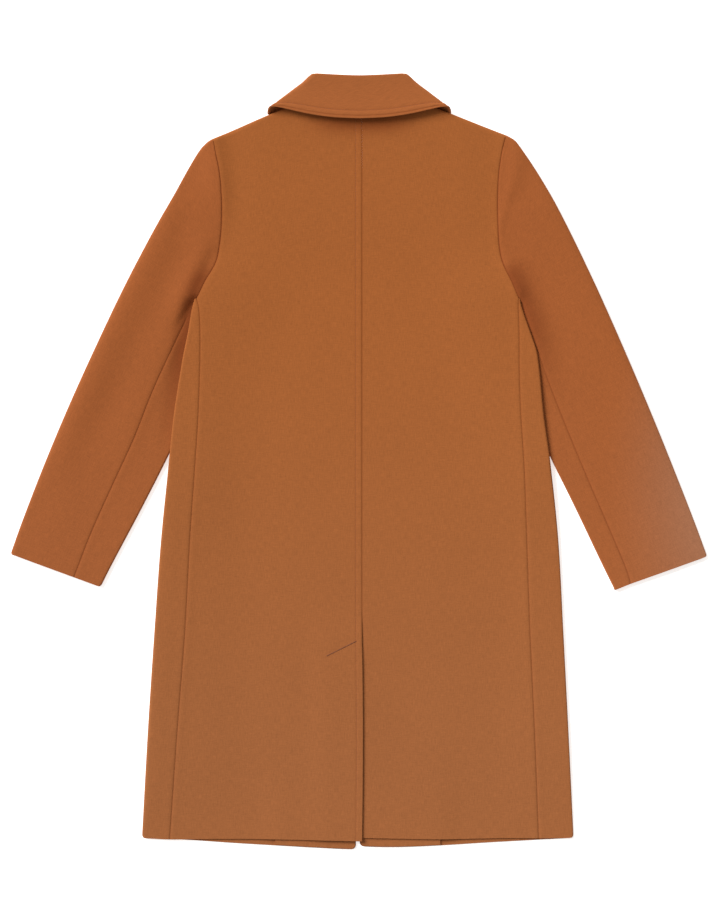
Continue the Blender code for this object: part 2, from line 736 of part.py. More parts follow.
def collar_fall(collection):
    """The fall: from its seam with the stand, over the roll, and down to the outer edge."""
    stations = collar_stations()
    inner = FLAT / 2.0 - WALL
    outer = FLAT / 2.0 + FALL_REACH
    middle = (inner + outer) / 2.0
    radius = (outer - inner) / 2.0
    seam = (STAND_SEAM_DROP - STAND_GAP) / STAND_HEIGHT
    profile = [(-seam, inner), (-radius / STAND_HEIGHT, inner)]
    for step in range(1, ROLL_STEPS):
        turn = math.pi * step / ROLL_STEPS
        drop = radius * (1.0 - math.sin(turn))
        scale = STAND_HEIGHT if turn < math.pi / 2.0 else FALL_HEIGHT
        sign = -1.0 if turn < math.pi / 2.0 else 1.0
        profile.append((sign * drop / scale, middle - radius * math.cos(turn)))
    profile.append((radius / FALL_HEIGHT, outer))
    profile += [(level, outer) for level in FALL_LEVELS]

    def place(column, row):
        side, q, angle = stations[column]
        level, reach = profile[row]
        point = collar_point(side, q, angle, level, reach)
        if angle > 0.0 and level > 0.0:
            point.z += EDGE_LIFT * level ** 2 * math.sin(math.radians(angle))
        return point
    return cloth_piece(collection, "collar_fall", "collar", len(stations) - 1, len(profile) - 1, place,
                       turned=True)


def main():
    for old in list(bpy.data.objects):
        bpy.data.objects.remove(old, do_unlink=True)
    coat = bpy.data.collections.new("overcoat")
    bpy.context.scene.collection.children.link(coat)
    for side in SIDES:
        back(coat, side)
        side_panel(coat, side)
        front(coat, side)
        facing(coat, side)
        top_sleeve(coat, side)
        under_sleeve(coat, side)
    collar_stand(coat)
    collar_fall(coat)


if __name__ == "__main__":
    main()
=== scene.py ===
"""Knee-length wool overcoat, laid flat with its back up: its cloth, seams, stitching and studio.

Millimetres in the tables and in the functions that place cloth, metres in the meshes and the properties.
X runs across the coat, Y from hem to collar and Z up from the surface that the coat lies on. Left and
right are the wearer's, so the left side is at negative X. Half-widths are given outward from the middle.
"""

import json
import math
from bisect import bisect_right
from functools import lru_cache

import bmesh
import bpy
import numpy as np
from bpy.props import FloatProperty, FloatVectorProperty, PointerProperty
from bpy.types import Operator, Panel, PropertyGroup
from mathutils import Matrix, Vector, noise

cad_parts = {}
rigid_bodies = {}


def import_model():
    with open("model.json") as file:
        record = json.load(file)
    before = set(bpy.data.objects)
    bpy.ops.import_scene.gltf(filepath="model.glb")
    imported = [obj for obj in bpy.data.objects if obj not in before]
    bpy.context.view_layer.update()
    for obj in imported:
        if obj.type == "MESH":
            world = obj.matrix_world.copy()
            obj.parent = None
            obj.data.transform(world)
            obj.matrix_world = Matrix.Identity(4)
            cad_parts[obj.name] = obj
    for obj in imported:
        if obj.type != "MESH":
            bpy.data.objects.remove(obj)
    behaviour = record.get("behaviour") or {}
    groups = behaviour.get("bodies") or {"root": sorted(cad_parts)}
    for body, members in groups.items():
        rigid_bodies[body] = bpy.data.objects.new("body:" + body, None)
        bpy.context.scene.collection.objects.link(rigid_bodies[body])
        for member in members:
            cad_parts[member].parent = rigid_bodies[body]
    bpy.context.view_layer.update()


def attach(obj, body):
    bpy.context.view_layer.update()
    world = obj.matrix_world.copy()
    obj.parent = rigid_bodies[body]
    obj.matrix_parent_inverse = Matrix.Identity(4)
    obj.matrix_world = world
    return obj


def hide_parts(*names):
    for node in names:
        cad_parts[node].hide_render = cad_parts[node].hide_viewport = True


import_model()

bl_info = {
    "name": "Wool overcoat",
    "version": (1, 0, 0),
    "blender": (4, 5, 0),
    "location": "3D View > Sidebar > Overcoat",
    "description": "Makes a knee-length wool overcoat that lies flat with its back up",
    "category": "Add Mesh",
}

MM = 0.001
BODY = "root"
SIDES = {"left": -1, "right": 1}
KEY_FROM = (-0.78, 0.62)        # the key light stands at the upper left
CAMERA_OVER = (1.42, 3.27)      # the camera looks straight down on this place
FILM_WIDTH = 36.0               # of the camera
BOARD_HALF = 4.0                # half the side of the studio board, in metres

# ---------------------------------------------------------------- the cut, as the solids have it

WALL = 2.2              # the woollen cloth, with the interlining behind it
SEAM = 0.02             # between the edges of two pieces at a seam
FLAT = 8.0              # a folded-flat tube of two walls
SLEEVE_FLAT = 7.4       # the same for a sleeve, from the underarm down
CENTRE_BACK = 4.3       # X of the centre back seam
NECK_BACK_Y = 505.0
UNDERARM_Y = 231.0      # where the armhole ends and the side panel starts
HEM_Y = -537.0
HEM_BEND_Y = -300.0     # the rows turn from level to the line of the hem below this
FRONT_EDGE = {"left": -4.4, "right": 0.9}
VENT_TOP = -255.0
VENT_UNDERLAY = 42.0    # how far the right back reaches under the left one
VENT_LIFT = WALL + SEAM
VENT_LIFT_BESIDE = (5.0, 45.0)  # full up to 5 mm beside the underlay, and gone from 45 mm
VENT_LIFT_ABOVE = (-7.0, 60.0)  # the same from below the top of the vent to above it
UNDERLAY_FROM = 7.0             # the underlay starts this far below the top of the vent
NECK_SIDE = (83.0, 511.9)       # where the neck meets the shoulder, from the collar's middle
SHOULDER_TIP = {"left": (208.5, 457.6), "right": (209.5, 463.4)}
SHOULDER_WRAP = 6.0     # the back turns over the shoulder to a seam this far down the front
NECK_SHARE = 0.4        # share of a body panel's width that ends at the neck, before the shoulder
NECK_NEAR = 0.01        # a column this near to the neck's share lies on it
NECK_CURVE = 1.5        # how late the neck's line rises to the side
FACING_SHARE = 0.428    # share of the front's width that the facing covers
FACING_IN = 1.0         # the facing stops short of the front's edge
FACING_IN_REACH = (0.0, 3.0)
FACING_ENDS = (1.0, 1.2)        # and short of the neck and of the hem
SIDE_LIFT = {"left": 5.6, "right": 7.8}
SIDE_LIFT_IN = (42.0, 95.0)     # full up to the first distance in from the fold, gone at the second
SIDE_LIFT_TOP = (228.0, 275.0)  # heights between which it goes out upward
SIDE_LIFT_END = (12.0, -34.0)   # and downward
NECK_LIFT = 3.1         # the part of the collar that turns under lifts the body round the neck
NECK_LIFT_OUT = (138.0, 190.0)  # half-widths between which that goes out
NECK_LIFT_END = (360.0, 295.0)  # and heights

# The same for the upper layer, which comes down from the sleeves and the collar more gently.
TOP_SIDE_LIFT = {"left": 4.4, "right": 5.6}
TOP_LIFT_IN = (42.0, 150.0)
TOP_LIFT_TOP = (228.0, 325.0)
TOP_LIFT_END = (5.0, -150.0)
TOP_NECK_OUT = (138.0, 205.0)
TOP_NECK_END = (380.0, 240.0)

ARMHOLE = (
    # y, left back, right back, front, height of the sleeve's outer fold on the same row
    (457.0, 208.0, 208.0, 208.0, 457.0),
    (442.0, 204.5, 203.6, 201.0, 457.0),
    (410.0, 198.0, 198.8, 190.0, 445.0),
    (374.0, 195.0, 197.0, 184.0, 424.0),
    (340.0, 195.0, 197.2, 182.0, 392.0),
    (306.0, 198.2, 199.2, 182.5, 358.0),
    (281.0, 204.2, 204.2, 185.0, 332.0),
    (256.0, 218.6, 216.2, 190.5, 306.0),
    (231.0, 230.6, 226.8, 203.5, 280.0),
)
ARM_LAST = len(ARMHOLE) - 1
BACK_COLUMN = {"left": 1, "right": 2}
FRONT_COLUMN = 3
OUTER_Y_COLUMN = 4
SIDE_PANEL = (
    # y, left seam, right seam, left fold, right fold
    (231.0, 230.6, 226.8, 233.2, 228.6),
    (221.0, 227.8, 226.2, 236.2, 230.6),
    (203.0, 226.0, 226.8, 239.6, 236.2),
    (186.0, 225.4, 227.3, 242.4, 242.4),
    (170.0, 225.2, 227.5, 245.6, 248.0),
    (157.0, 225.3, 227.5, 248.4, 252.2),
    (140.0, 225.5, 227.5, 251.4, 255.0),
    (67.0, 228.0, 229.8, 262.8, 262.2),
    (0.0, 232.2, 234.2, 270.0, 271.5),
    (-110.0, 240.0, 238.5, 281.3, 283.2),
    (-240.0, 247.0, 243.0, 290.8, 290.4),
    (-370.0, 257.0, 249.0, 299.4, 297.1),
    (-537.0, 269.0, 255.5, 308.8, 305.2),
)
FRONT_SEAM_IN = 36.0    # the front seam lies this far in from the fold, underneath
TOP_END_FOLD = 0.7      # where the panel narrows at the underarm, its fold takes this share of its width
BACK_HEM = (
    # half-width, left, right
    (0.0, -539.6, -535.0),
    (120.0, -537.2, -537.0),
    (210.0, -536.8, -535.6),
    (270.0, -537.6, -535.8),
    (307.0, -535.8, -535.4),
)
FRONT_HEM = (
    # half-width, left, right
    (0.0, -551.6, -547.4),
    (14.0, -551.8, -548.3),
    (55.0, -550.0, -548.8),
    (119.0, -546.4, -546.2),
    (180.0, -542.8, -542.4),
    (235.0, -539.0, -539.3),
    (307.0, -535.8, -535.4),
)
SLEEVE_OUTER = (
    # y, left, right
    (463.4, 193.0, 209.5),
    (457.6, 208.5, 219.8),
    (449.0, 220.6, 227.3),
    (442.0, 226.6, 232.3),
    (421.0, 239.8, 246.8),
    (378.0, 263.6, 272.9),
    (335.0, 288.2, 295.6),
    (250.0, 332.9, 336.5),
    (165.0, 373.5, 374.4),
    (80.0, 412.0, 410.6),
    (-5.0, 447.7, 445.2),
    (-90.0, 480.6, 478.4),
    (-134.0, 496.2, 494.6),
)
SLEEVE_INNER = (
    # y, left, right
    (213.0, 203.0, 203.0),
    (170.0, 212.0, 212.0),
    (130.0, 222.0, 222.0),
    (57.0, 248.5, 248.0),
    (12.0, 269.0, 269.0),
    (-69.0, 310.0, 308.7),
    (-154.0, 355.0, 349.3),
    (-179.0, 367.5, 361.7),
)
HIND_SEAM = (
    # y, left, right
    (230.5, 234.0, 229.5),
    (200.0, 246.5, 240.0),
    (169.0, 261.0, 249.5),
    (101.0, 292.5, 274.0),
    (33.0, 319.5, 301.0),
    (-35.0, 351.0, 329.5),
    (-103.0, 382.0, 359.0),
    (-158.6, 404.0, 382.0),
    (-172.0, 409.5, 386.0),
)
FOREARM_SEAM = (
    # y, left, right
    (230.5, 204.0, 204.0),
    (200.0, 224.0, 224.0),
    (170.0, 238.0, 238.0),
    (90.0, 264.0, 264.0),
    (12.0, 301.0, 301.0),
    (-69.0, 341.0, 338.0),
    (-168.0, 395.5, 391.0),
)
SLEEVE_TOP_Y = 230.5    # where the two lengthwise seams of a sleeve start
INNER_TOP_Y = 213.0     # where its inner fold starts, under the body
INNER_FOLD_TOP = (0.5, -0.866)  # the way that fold faces there
INNER_FOLD_TURN = 0.25  # share of the way to the cuff over which it turns
CUFF_OUTER_Y = {"left": -132.4, "right": -136.0}
CUFF_INNER = {"left": (367.0, -178.5), "right": (361.0, -182.9)}
# Where the seams end on the cuff, from its outer corner at 0 to its inner one at 1.
HIND_SHARE = {"left": 0.705, "right": 0.815}
FOREARM_SHARE = 0.775

FOLD_REACH = 4.0        # a fold's direction is taken over this length both ways
TIP_GAP = 0.1           # the sleeve starts this far outside the shoulder tip
SLEEVE_SWELL = 0.9      # the top sleeve stands up this much in its middle
SWELL_ROWS = 3.0        # rows over which that comes in
FLATTEN_ROWS = 4.0      # rows over which the sleeve comes down to its flat height
ARM_ROWS = ARM_LAST - 1         # a sleeve's rows beside the armhole: its row 0 is the armhole's row 1
CUFF_ROWS = 9           # and from the underarm to the cuff

COLLAR_MIDDLE = 0.4     # X of the collar's middle
COLLAR_LINES = {
    # centre back y, side fold, front end, bow of the front stretch
    "neck": (NECK_BACK_Y, NECK_SIDE, (4.5, 416.5), 13.0),
    "roll": (547.8, (63.2, 550.8), (4.5, 444.0), 5.0),
    "edge": (485.4, (131.9, 504.0), (48.0, 366.0), -4.0),
}
COLLAR_EDGE_RISE = (
    # share of the way to the side fold, y
    (0.0, 485.4),
    (0.3, 487.4),
    (0.55, 492.2),
    (0.8, 499.6),
    (0.92, 503.0),
    (1.0, 504.0),
)
FOLD_HEADINGS = (
    # level, the way the side fold faces, in degrees from straight outward
    (-1.0, 66.5),
    (0.0, 6.0),
    (0.2, 44.0),
    (0.5, 53.0),
    (0.8, 46.0),
    (1.0, 14.0),
)
COLLAR_SIDE_SAG = 0.7   # the side folds run a little below a straight line
# How late along the collar these come in towards the side fold: the higher the power, the later.
COLLAR_DROP_POWER = 3
COLLAR_SAG_POWER = 4
COLLAR_INSET_POWER = 5
COLLAR_CORNERS = (
    # level, radius, directions of the two edges that meet
    (0.0, 11.0, (-1.0, -0.03), (0.82, -0.57)),
    (1.0, 8.0, (-0.82, 0.57), (0.02, -1.0)),
)
STAND_HEIGHT = 43.0     # from the neck seam to the roll
FALL_HEIGHT = 63.0      # from the roll to the outer edge
NECK_GAP = 0.6          # between the stand and the neck's edge
NECK_END_DROP = 3.0     # the fronts' corners at the neck lie lower by this
STAND_GAP = 1.4         # between the edges of the stand and the fall, inside the roll
STAND_SEAM_DROP = 11.0  # the stand ends this far below the roll
FALL_REACH = 3.1        # the fall's outer half lies this far outside the stand
FALL_SPREAD = 0.3       # the fall has come to its full reach at this level
FALL_INNER_ROW = 0.6    # a row inside the fold, by its share of the way from the roll to the stand's seam

# ---------------------------------------------------------------- the cloth's relief

FINE = 6.0              # the cloth's mesh away from seams and folds
COARSE = 9.0            # the same on the hidden underside
FOLD_TURNS = 12         # facets round a folded edge
EDGE_FACETS = 3         # and round a cut one
EDGE_ANGLE = math.radians(50.0) # an edge sharper than this is rounded
SEAM_EDGE = (0.0, 0.7, 1.4, 2.4, 3.8, 5.6, 8.0, 11.0)
STITCHED_EDGE = (0.0, 0.7, 1.4, 2.4, 4.0, 5.8, 7.2, 8.1, 9.0, 9.9, 10.8, 12.4, 15.0, 19.0)
CUT_EDGE = (0.0, 1.4, 3.2, 6.0)
FRONT_EDGE_STEPS = (0.0, 1.2, 2.4, 3.8, 5.6, 9.0)
COLLAR_EDGE_STEPS = (0.0, 1.3, 2.3, 2.9, 3.4, 3.9, 4.6, 5.8, 7.6, 9.4, 10.5, 11.5, 12.5, 13.8, 17.0)
SIDE_SHARES = (0.0, 0.02, 0.04, 0.075, 0.13, 0.2, 0.3, 0.42, 0.55, 0.68, 0.8, 0.91, 1.0)
SIDE_UNDER_COUNT = 4
SLEEVE_UNDER_COUNT = 5
STAND_ROWS = 6
STAND_STEPS = (8.0, 8.0)        # along the collar: behind the neck, and in front of it
FALL_STEPS = (5.0, 8.0)
FALL_ROW_STEP = 5.0

# About how long and wide the pieces are, for their rows and columns to be spaced by.
ARMHOLE_LENGTH = 250.0
SHOULDER_WIDTH = 200.0
BACK_WIDTH = 235.0
FRONT_WIDTH = 250.0
FACING_WIDTH = 110.0
SLEEVE_HEAD_LENGTH = 230.0
TOP_SLEEVE_LENGTH = 420.0
TOP_SLEEVE_WIDTH = 95.0
UNDER_SLEEVE_LENGTH = 410.0
COLLAR_BACK_LENGTH = 110.0      # from the middle to a side fold
COLLAR_FRONT_LENGTH = 150.0

SEAM_DIP = (-0.7, 1.0)          # depth and half-width of the groove that a seam pulls in
SEAM_OPENS = (-30.0, 0.0)       # heights over the top of the vent between which the groove comes in
SEAM_END_DENT = (-12.0, 12.0)   # those between which the right back's dent at the seam's end runs out
SEAM_END_SHADE = (-10.0, 20.0)  # and those between which the seam's painted shade line comes in
SEAM_SWELL = (0.28, 5.5, 3.2)   # height, distance and half-width of the allowance pressed behind it
STITCH_IN = 9.0                 # the topstitching runs this far from the centre back seam
STITCH_FROM = 0.03              # and starts at this share of the way from the neck to the underarm
STITCH_DIP = (-0.5, 1.3)
ARMHOLE_SHADE = 0.85            # how dark the painted shade in the groove of the armhole's seam is
PLAIN_SHADE = 0.38              # and that of a flat seam
STITCH_SHADE = 0.22             # and that of the topstitching
COLLAR_SEAM_SHADE = 0.3
SEAM_SHADE_WIDTH = 0.85             # half-width of the painted shade line in a seam's groove
STITCH_SHELF = 0.35             # the allowance held down between seam and topstitching
STITCH_SHELF_END = (STITCH_IN - 1.0, STITCH_IN + 3.0)
COLLAR_STITCH_IN = 11.5         # the collar's topstitching runs this far from its outer edge
COLLAR_STITCH_TURN = 10.0       # and round each side fold to this angle over its outermost line
COLLAR_SEAM_IN = 3.4            # the upper collar is rolled over the edge to this line
COLLAR_SEAM_DIP = (-0.75, 0.9)
COLLAR_SWELL = (0.3, 7.25, 3.0) # height, distance and half-width of the swell up to the topstitching
COLLAR_ROLL_DROP = 0.7

CREASES = (
    # place, cloth, height, width outward, width inward, share that fades in, share that fades out, line
    ("left underarm trough", "both", -1.9, 9.0, 9.0, 0.12, 0.25,
     ((-199, 304), (-206, 291), (-212, 280), (-218, 267), (-224, 254), (-230, 242), (-235, 229), (-242, 212),
      (-249, 192))),
    ("left sleeve ridge", "both", 3.5, 20.0, 13.0, 0.3, 0.5,
     ((-206, 342), (-214, 322), (-227, 294), (-240, 266), (-251, 237), (-264, 204), (-282, 160),
      (-300, 118))),
    ("left outer swell", "both", 4.2, 17.0, 24.0, 0.25, 0.3,
     ((-243, 386), (-271, 335), (-316, 250), (-356, 165), (-395, 80), (-430, -5), (-458, -70))),
    ("left hind ridge", "sleeve", 2.2, 24.0, 18.0, 0.15, 0.6,
     ((-264, 196), (-282, 150), (-305, 95), (-328, 40), (-352, -20), (-382, -90))),
    ("left sleeve head", "both", 6.2, 22.0, 16.0, 0.12, 0.5,
     ((-212, 478), (-205, 446), (-201, 420), (-197, 385), (-196, 345), (-199, 312))),
    ("left head slope", "sleeve", -2.6, 10.0, 26.0, 0.1, 0.4,
     ((-216, 454), (-226, 443), (-240, 422), (-252, 399), (-266, 374), (-280, 348))),
    ("left head hollow", "both", -1.2, 16.0, 12.0, 0.3, 0.3,
     ((-243, 370), (-250, 340), (-262, 308))),
    ("right head swell", "both", 2.6, 14.0, 15.0, 0.15, 0.4,
     ((231, 470), (226, 440), (221, 412), (216, 386), (211, 360))),
    ("right head ridge", "both", 1.4, 6.0, 6.0, 0.3, 0.3,
     ((220, 408), (214, 386), (208, 362), (202, 336), (200, 310))),
    ("right underarm hollow", "sleeve", -0.9, 28.0, 18.0, 0.3, 0.4,
     ((224, 296), (242, 270), (257, 242), (270, 205), (280, 165), (292, 120))),
    ("right armhole ridge", "both", 2.2, 20.0, 12.0, 0.3, 0.4,
     ((203, 300), (208, 282), (216, 266), (224, 250), (231, 235), (236, 222))),
    ("right underarm fold", "sleeve", 4.6, 18.0, 6.5, 0.25, 0.6,
     ((230, 244), (233, 232), (237.5, 220), (243.5, 202), (250, 184), (256.5, 164), (261.5, 136), (266, 102),
      (269, 60))),
    ("right outer swell", "both", 3.2, 6.0, 60.0, 0.2, 0.3,
     ((240, 424), (267, 378), (290, 335), (331, 250), (369, 165), (405, 80), (440, -5), (466, -70))),
    ("left side hollow", "body", -2.1, 40.0, 54.0, 0.3, 0.1,
     ((-178, 300), (-177, 200), (-175, 60), (-170, -120), (-163, -330), (-156, -560))),
    ("left side edge", "body", 1.2, 14.0, 26.0, 0.2, 0.1,
     ((-256, 0), (-267, -110), (-276, -240), (-285, -370), (-294, -530))),
    ("right side hollow", "body", -2.0, 34.0, 64.0, 0.3, 0.15,
     ((208, 290), (209, 200), (208, 90), (204, -60), (200, -220), (196, -400), (192, -560))),
    ("left skirt hollow", "body", -0.5, 30.0, 24.0, 0.5, 0.5,
     ((-66, -180), (-74, -320), (-72, -500))),
    ("right skirt hollow", "body", -1.5, 40.0, 54.0, 0.5, 0.3,
     ((60, -190), (64, -340), (66, -520))),
    ("under the collar", "body", 2.2, 14.0, 14.0, 0.3, 0.3,
     ((-84, 492), (-40, 488), (4, 486), (50, 488), (94, 492))),
    ("left elbow", "both", -0.9, 20.0, 22.0, 0.4, 0.4,
     ((-330, 150), (-352, 80), (-380, 20))),
    ("right elbow", "both", -0.8, 22.0, 20.0, 0.4, 0.4,
     ((322, 160), (350, 84), (372, 10))),
    ("left forearm", "both", 0.7, 22.0, 20.0, 0.4, 0.3,
     ((-392, 20), (-420, -60), (-444, -140))),
    ("right forearm", "both", 0.7, 20.0, 22.0, 0.4, 0.3,
     ((378, 40), (410, -50), (436, -140))),
    ("pucker at the top of the vent", "body", -0.5, 6.0, 6.0, 0.3, 0.3,
     ((-52, -278), (-25, -266), (2, -253))),
)
# Painted shade: the relief alone shades the deepest folds too weakly under so soft a light, so these rows
# paint a darker, redder tone into the cloth's colour where the folds and the cloth under the collar lie in
# shade. They read as above, with the share of the way to the darkest tone in the height's place.
PAINTED_FOLD_SHADE = (
    ("left underarm", "sleeve", 0.6, 13.0, 14.0, 0.2, 0.3,
     ((-208, 288), (-219, 269), (-228, 254), (-233, 241), (-236, 226), (-240, 203), (-246, 178), (-255, 138),
      (-264, 88), (-271, 30))),
    ("right underarm", "sleeve", 0.55, 22.0, 12.0, 0.15, 0.5,
     ((204, 284), (211, 270), (219, 254), (226, 239), (232, 224), (239, 204), (246, 183), (253, 163),
      (260, 134), (266, 94), (271, 40))),
    ("under the collar", "body", 0.62, 15.0, 15.0, 0.35, 0.35,
     ((-92, 488), (-45, 482), (4, 480), (52, 482), (100, 488))),
)
CREASE_SMOOTHING = 6            # short straights for each stretch of a crease
CREASE_REACH = 3.0              # a crease is nothing beyond this many times its width
UNEVEN = (0.22, 58.0)           # height and spacing of the cloth's slight unevenness
SEAM_RISE_REACH = (1.0, 24.0)   # the sleeve comes down from the armhole seam over this distance
UNDERARM_REACH = {"left": (8.0, 42.0), "right": (0.3, 26.0)}     # and over this one at the underarm
UNDERARM_ROWS = (3.0, 6.0)      # rows of a sleeve over which the one becomes the other
UNDERARM_DROP = (6.75, 7.3)     # rows of a sleeve over which its edge comes down at the underarm
UNDERARM_SLOPE = {"left": 1.2, "right": 0.0}    # rows more, away from the edge
UNDERARM_SLOPE_IN = (2.0, 14.0)                 # and the distances between which they come in
SIDE_FOLD_DEPTH = {"left": 5.0, "right": 2.4}   # how far a side fold rounds off below the sleeves
SIDE_FOLD_BELOW = (-40.0, 20.0)
OUTER_FOLD_DEPTH = {"left": 8.0, "right": 2.4}  # how far a sleeve's outer fold rounds off
OUTER_FOLD_ROWS = 2.0           # rows from the shoulder tip over which it comes to that
INNER_FOLD_DEPTH = 2.6          # and its inner one
PRESSED = {"left": 2.8, "right": 0.6}           # the body presses the sleeve beside it flat by this much
PRESSED_BESIDE = (2.0, 22.0)    # distances out from the body's fold between which that goes out
PRESSED_ALONG = (0.0, 60.0, 222.0, 240.0)       # heights: in between the first two, out at the others
SLEEVE_LEAST = 4.5              # two walls that lie on each other
HEM_SINK = (1.0, 3.2)           # the backs come down at the hem: over the facings, and beside them
HEM_SINK_ACROSS = (112.0, 150.0)        # half-widths between which the one becomes the other
HEM_SINK_FROM = -400.0          # the height that this starts at
COLLAR_EDGE_LIFT = 8.8          # the collar's outer edge stands off the back
COLLAR_END_DROP = 10.0          # the outer edge sinks towards the shoulder as it turns under
VENT_CURL = 0.3                 # the lapped edge stands off the underlay a little more
VENT_CURL_REACH = (4.0, 26.0)
VENT_CURL_ABOVE = (-40.0, 10.0)
VENT_BOW = 1.2                  # the lapped edge bows out over the underlay between vent top and hem
VENT_BOW_REACH = (2.0, 30.0)
CORNER_ROUND = 6.0              # the corners at the fronts' hems
HEM_ROUND = 5.0                 # and where the side folds meet the hem
HEM_CORNER_LEAN = 0.03          # how far the two edges there lean from square
CUFF_ROUND = 4.0

STAY_STITCH = ((-47.0, -276.8), (-2.6, -254.6))
STAY_STITCH_SIZE = 2.6          # its stitches are this much larger than the topstitching's
STAY_STITCH_LAP = 0.45          # and each laps over the one before by this share
STAY_STITCH_STEPS = 16          # steps in which the row follows the cloth


# ---------------------------------------------------------------- curves

def ramp(start, end, value):
    """0 up to start, 1 from end on, and a smooth rise between them."""
    t = min(1.0, max(0.0, (value - start) / (end - start)))
    return t * t * (3.0 - 2.0 * t)


def fade(span, value):
    """1 up to the first value of the span and 0 from the second, whichever way the span runs."""
    return 1.0 - ramp(span[0], span[1], value)


def bump(value, middle, width):
    """A soft hump, 1 at its middle."""
    return math.exp(-((value - middle) / width) ** 2)


def smooth_curve(points):
    """A smooth curve through (place, value) pairs, as a function of the place."""
    points = sorted(points)
    places = [point[0] for point in points]
    values = [point[1] for point in points]
    slopes = [(values[n + 1] - values[n]) / (places[n + 1] - places[n]) for n in range(len(places) - 1)]
    leaning = [slopes[0]] + [(a + b) / 2.0 for a, b in zip(slopes, slopes[1:])] + [slopes[-1]]

    def at(place):
        if place <= places[0]:
            return values[0]
        if place >= places[-1]:
            return values[-1]
        n = bisect_right(places, place) - 1
        width = places[n + 1] - places[n]
        t = (place - places[n]) / width
        square, cube = t * t, t * t * t
        return ((2 * cube - 3 * square + 1) * values[n] + (cube - 2 * square + t) * width * leaning[n]
                + (3 * square - 2 * cube) * values[n + 1] + (cube - square) * width * leaning[n + 1])
    return at


def both_sides(table, left, right):
    """The curves of a table's left and right columns."""
    return {"left": smooth_curve([(row[0], row[left]) for row in table]),
            "right": smooth_curve([(row[0], row[right]) for row in table])}


side_seam = both_sides(SIDE_PANEL, 1, 2)
side_fold = both_sides(SIDE_PANEL, 3, 4)
back_hem = both_sides(BACK_HEM, 1, 2)
front_hem = both_sides(FRONT_HEM, 1, 2)
sleeve_outer = both_sides(SLEEVE_OUTER, 1, 2)
sleeve_inner = both_sides(SLEEVE_INNER, 1, 2)
hind_seam = both_sides(HIND_SEAM, 1, 2)
forearm_seam = both_sides(FOREARM_SEAM, 1, 2)
outer_y = {side: smooth_curve([(n, SHOULDER_TIP[side][1] if n < 2 else row[OUTER_Y_COLUMN])
                               for n, row in enumerate(ARMHOLE)]) for side in SIDES}
collar_edge_rise = smooth_curve(COLLAR_EDGE_RISE)
fold_heading = smooth_curve(FOLD_HEADINGS)


def mix(a, b, t):
    return Vector(a) * (1.0 - t) + Vector(b) * t


def patch(u, v, start, end, near, far):
    """A point of the surface between four plan curves: near and far run along v, start and end along u."""
    across = mix(start(u), end(u), v)
    along = mix(near(v), far(v), u)
    corners = mix(mix(start(0.0), start(1.0), u), mix(end(0.0), end(1.0), u), v)
    return across + along - corners


def mirrored(side, half, y):
    return Vector((SIDES[side] * half, y))


def side_of(x):
    return "left" if x < 0 else "right"


def ground(x, y):
    """How high the underside of the body lies over the surface."""
    beside = fade(SIDE_LIFT_IN, side_fold[side_of(x)](y) - abs(x))
    along = fade(SIDE_LIFT_TOP, y) * fade(SIDE_LIFT_END, y)
    round_neck = fade(NECK_LIFT_OUT, abs(x - COLLAR_MIDDLE)) * fade(NECK_LIFT_END, y)
    return SIDE_LIFT[side_of(x)] * beside * along + NECK_LIFT * round_neck


def top_of(x, y):
    """How high the upper layer of the body lies."""
    beside = fade(TOP_LIFT_IN, side_fold[side_of(x)](y) - abs(x))
    along = fade(TOP_LIFT_TOP, y) * fade(TOP_LIFT_END, y)
    round_neck = fade(TOP_NECK_OUT, abs(x - COLLAR_MIDDLE)) * fade(TOP_NECK_END, y)
    sink = HEM_SINK[0] + (HEM_SINK[1] - HEM_SINK[0]) * ramp(*HEM_SINK_ACROSS, abs(x))
    at_hem = fade((HEM_Y, HEM_SINK_FROM), y)
    return FLAT + TOP_SIDE_LIFT[side_of(x)] * beside * along + NECK_LIFT * round_neck - sink * at_hem


def sleeve_top(side, x, y):
    """How high the upper layer of a flattened sleeve lies: less where the body presses on it."""
    beside = fade(PRESSED_BESIDE, abs(x) - side_fold[side](y))
    along = ramp(PRESSED_ALONG[0], PRESSED_ALONG[1], y) * fade(PRESSED_ALONG[2:], y)
    return SLEEVE_FLAT - PRESSED[side] * beside * along


def round_corner(point, corner, first, second, radius):
    """Draws a plan point near a corner in, so that the corner's two edges run into an arc. first and
    second are the directions in which the edges leave the corner."""
    first, second = Vector(first).normalized(), Vector(second).normalized()
    middle = (first + second).normalized()
    sine = abs(first.x * middle.y - first.y * middle.x)
    centre = Vector(corner) + middle * radius / sine
    away = Vector(point) - centre
    if away.length == 0.0:
        return point
    heading = min(1.0, -away.dot(middle) / away.length)
    if heading <= sine:
        return point
    return centre + away * (heading * sine + math.sqrt((1.0 - heading ** 2) * (1.0 - sine ** 2)))


def with_corner(spot, *corner):
    """The same for a point in space, whose height stays."""
    plan = round_corner(Vector((spot.x, spot.y)), *corner)
    return Vector((plan.x, plan.y, spot.z))


def round_fold(tip, normal, angle, low, high, depth=None):
    """A point round a folded edge; 90 degrees is its top, 0 its outermost line and -90 its underside.
    depth is the fold's radius in plan, where it isn't half its height."""
    radius = (high - low) / 2.0
    reach = radius if depth is None else depth
    plan = Vector(tip) + Vector(normal) * reach * (math.cos(math.radians(angle)) - 1.0)
    return Vector((plan.x, plan.y, low + radius + radius * math.sin(math.radians(angle))))


def fold_angles():
    return [90.0 - 180.0 * n / FOLD_TURNS for n in range(FOLD_TURNS + 1)]


def wrapped(tops, under_count):
    """The columns of a piece that lies on top, turns round a fold and ends underneath."""
    return ([("top", top) for top in tops] + [("fold", angle) for angle in fold_angles()]
            + [("under", (n + 1) / under_count) for n in range(under_count)])


def top_share(angle):
    """How far a place round a fold belongs to the upper layer."""
    return 0.5 + 0.5 * math.sin(math.radians(angle))


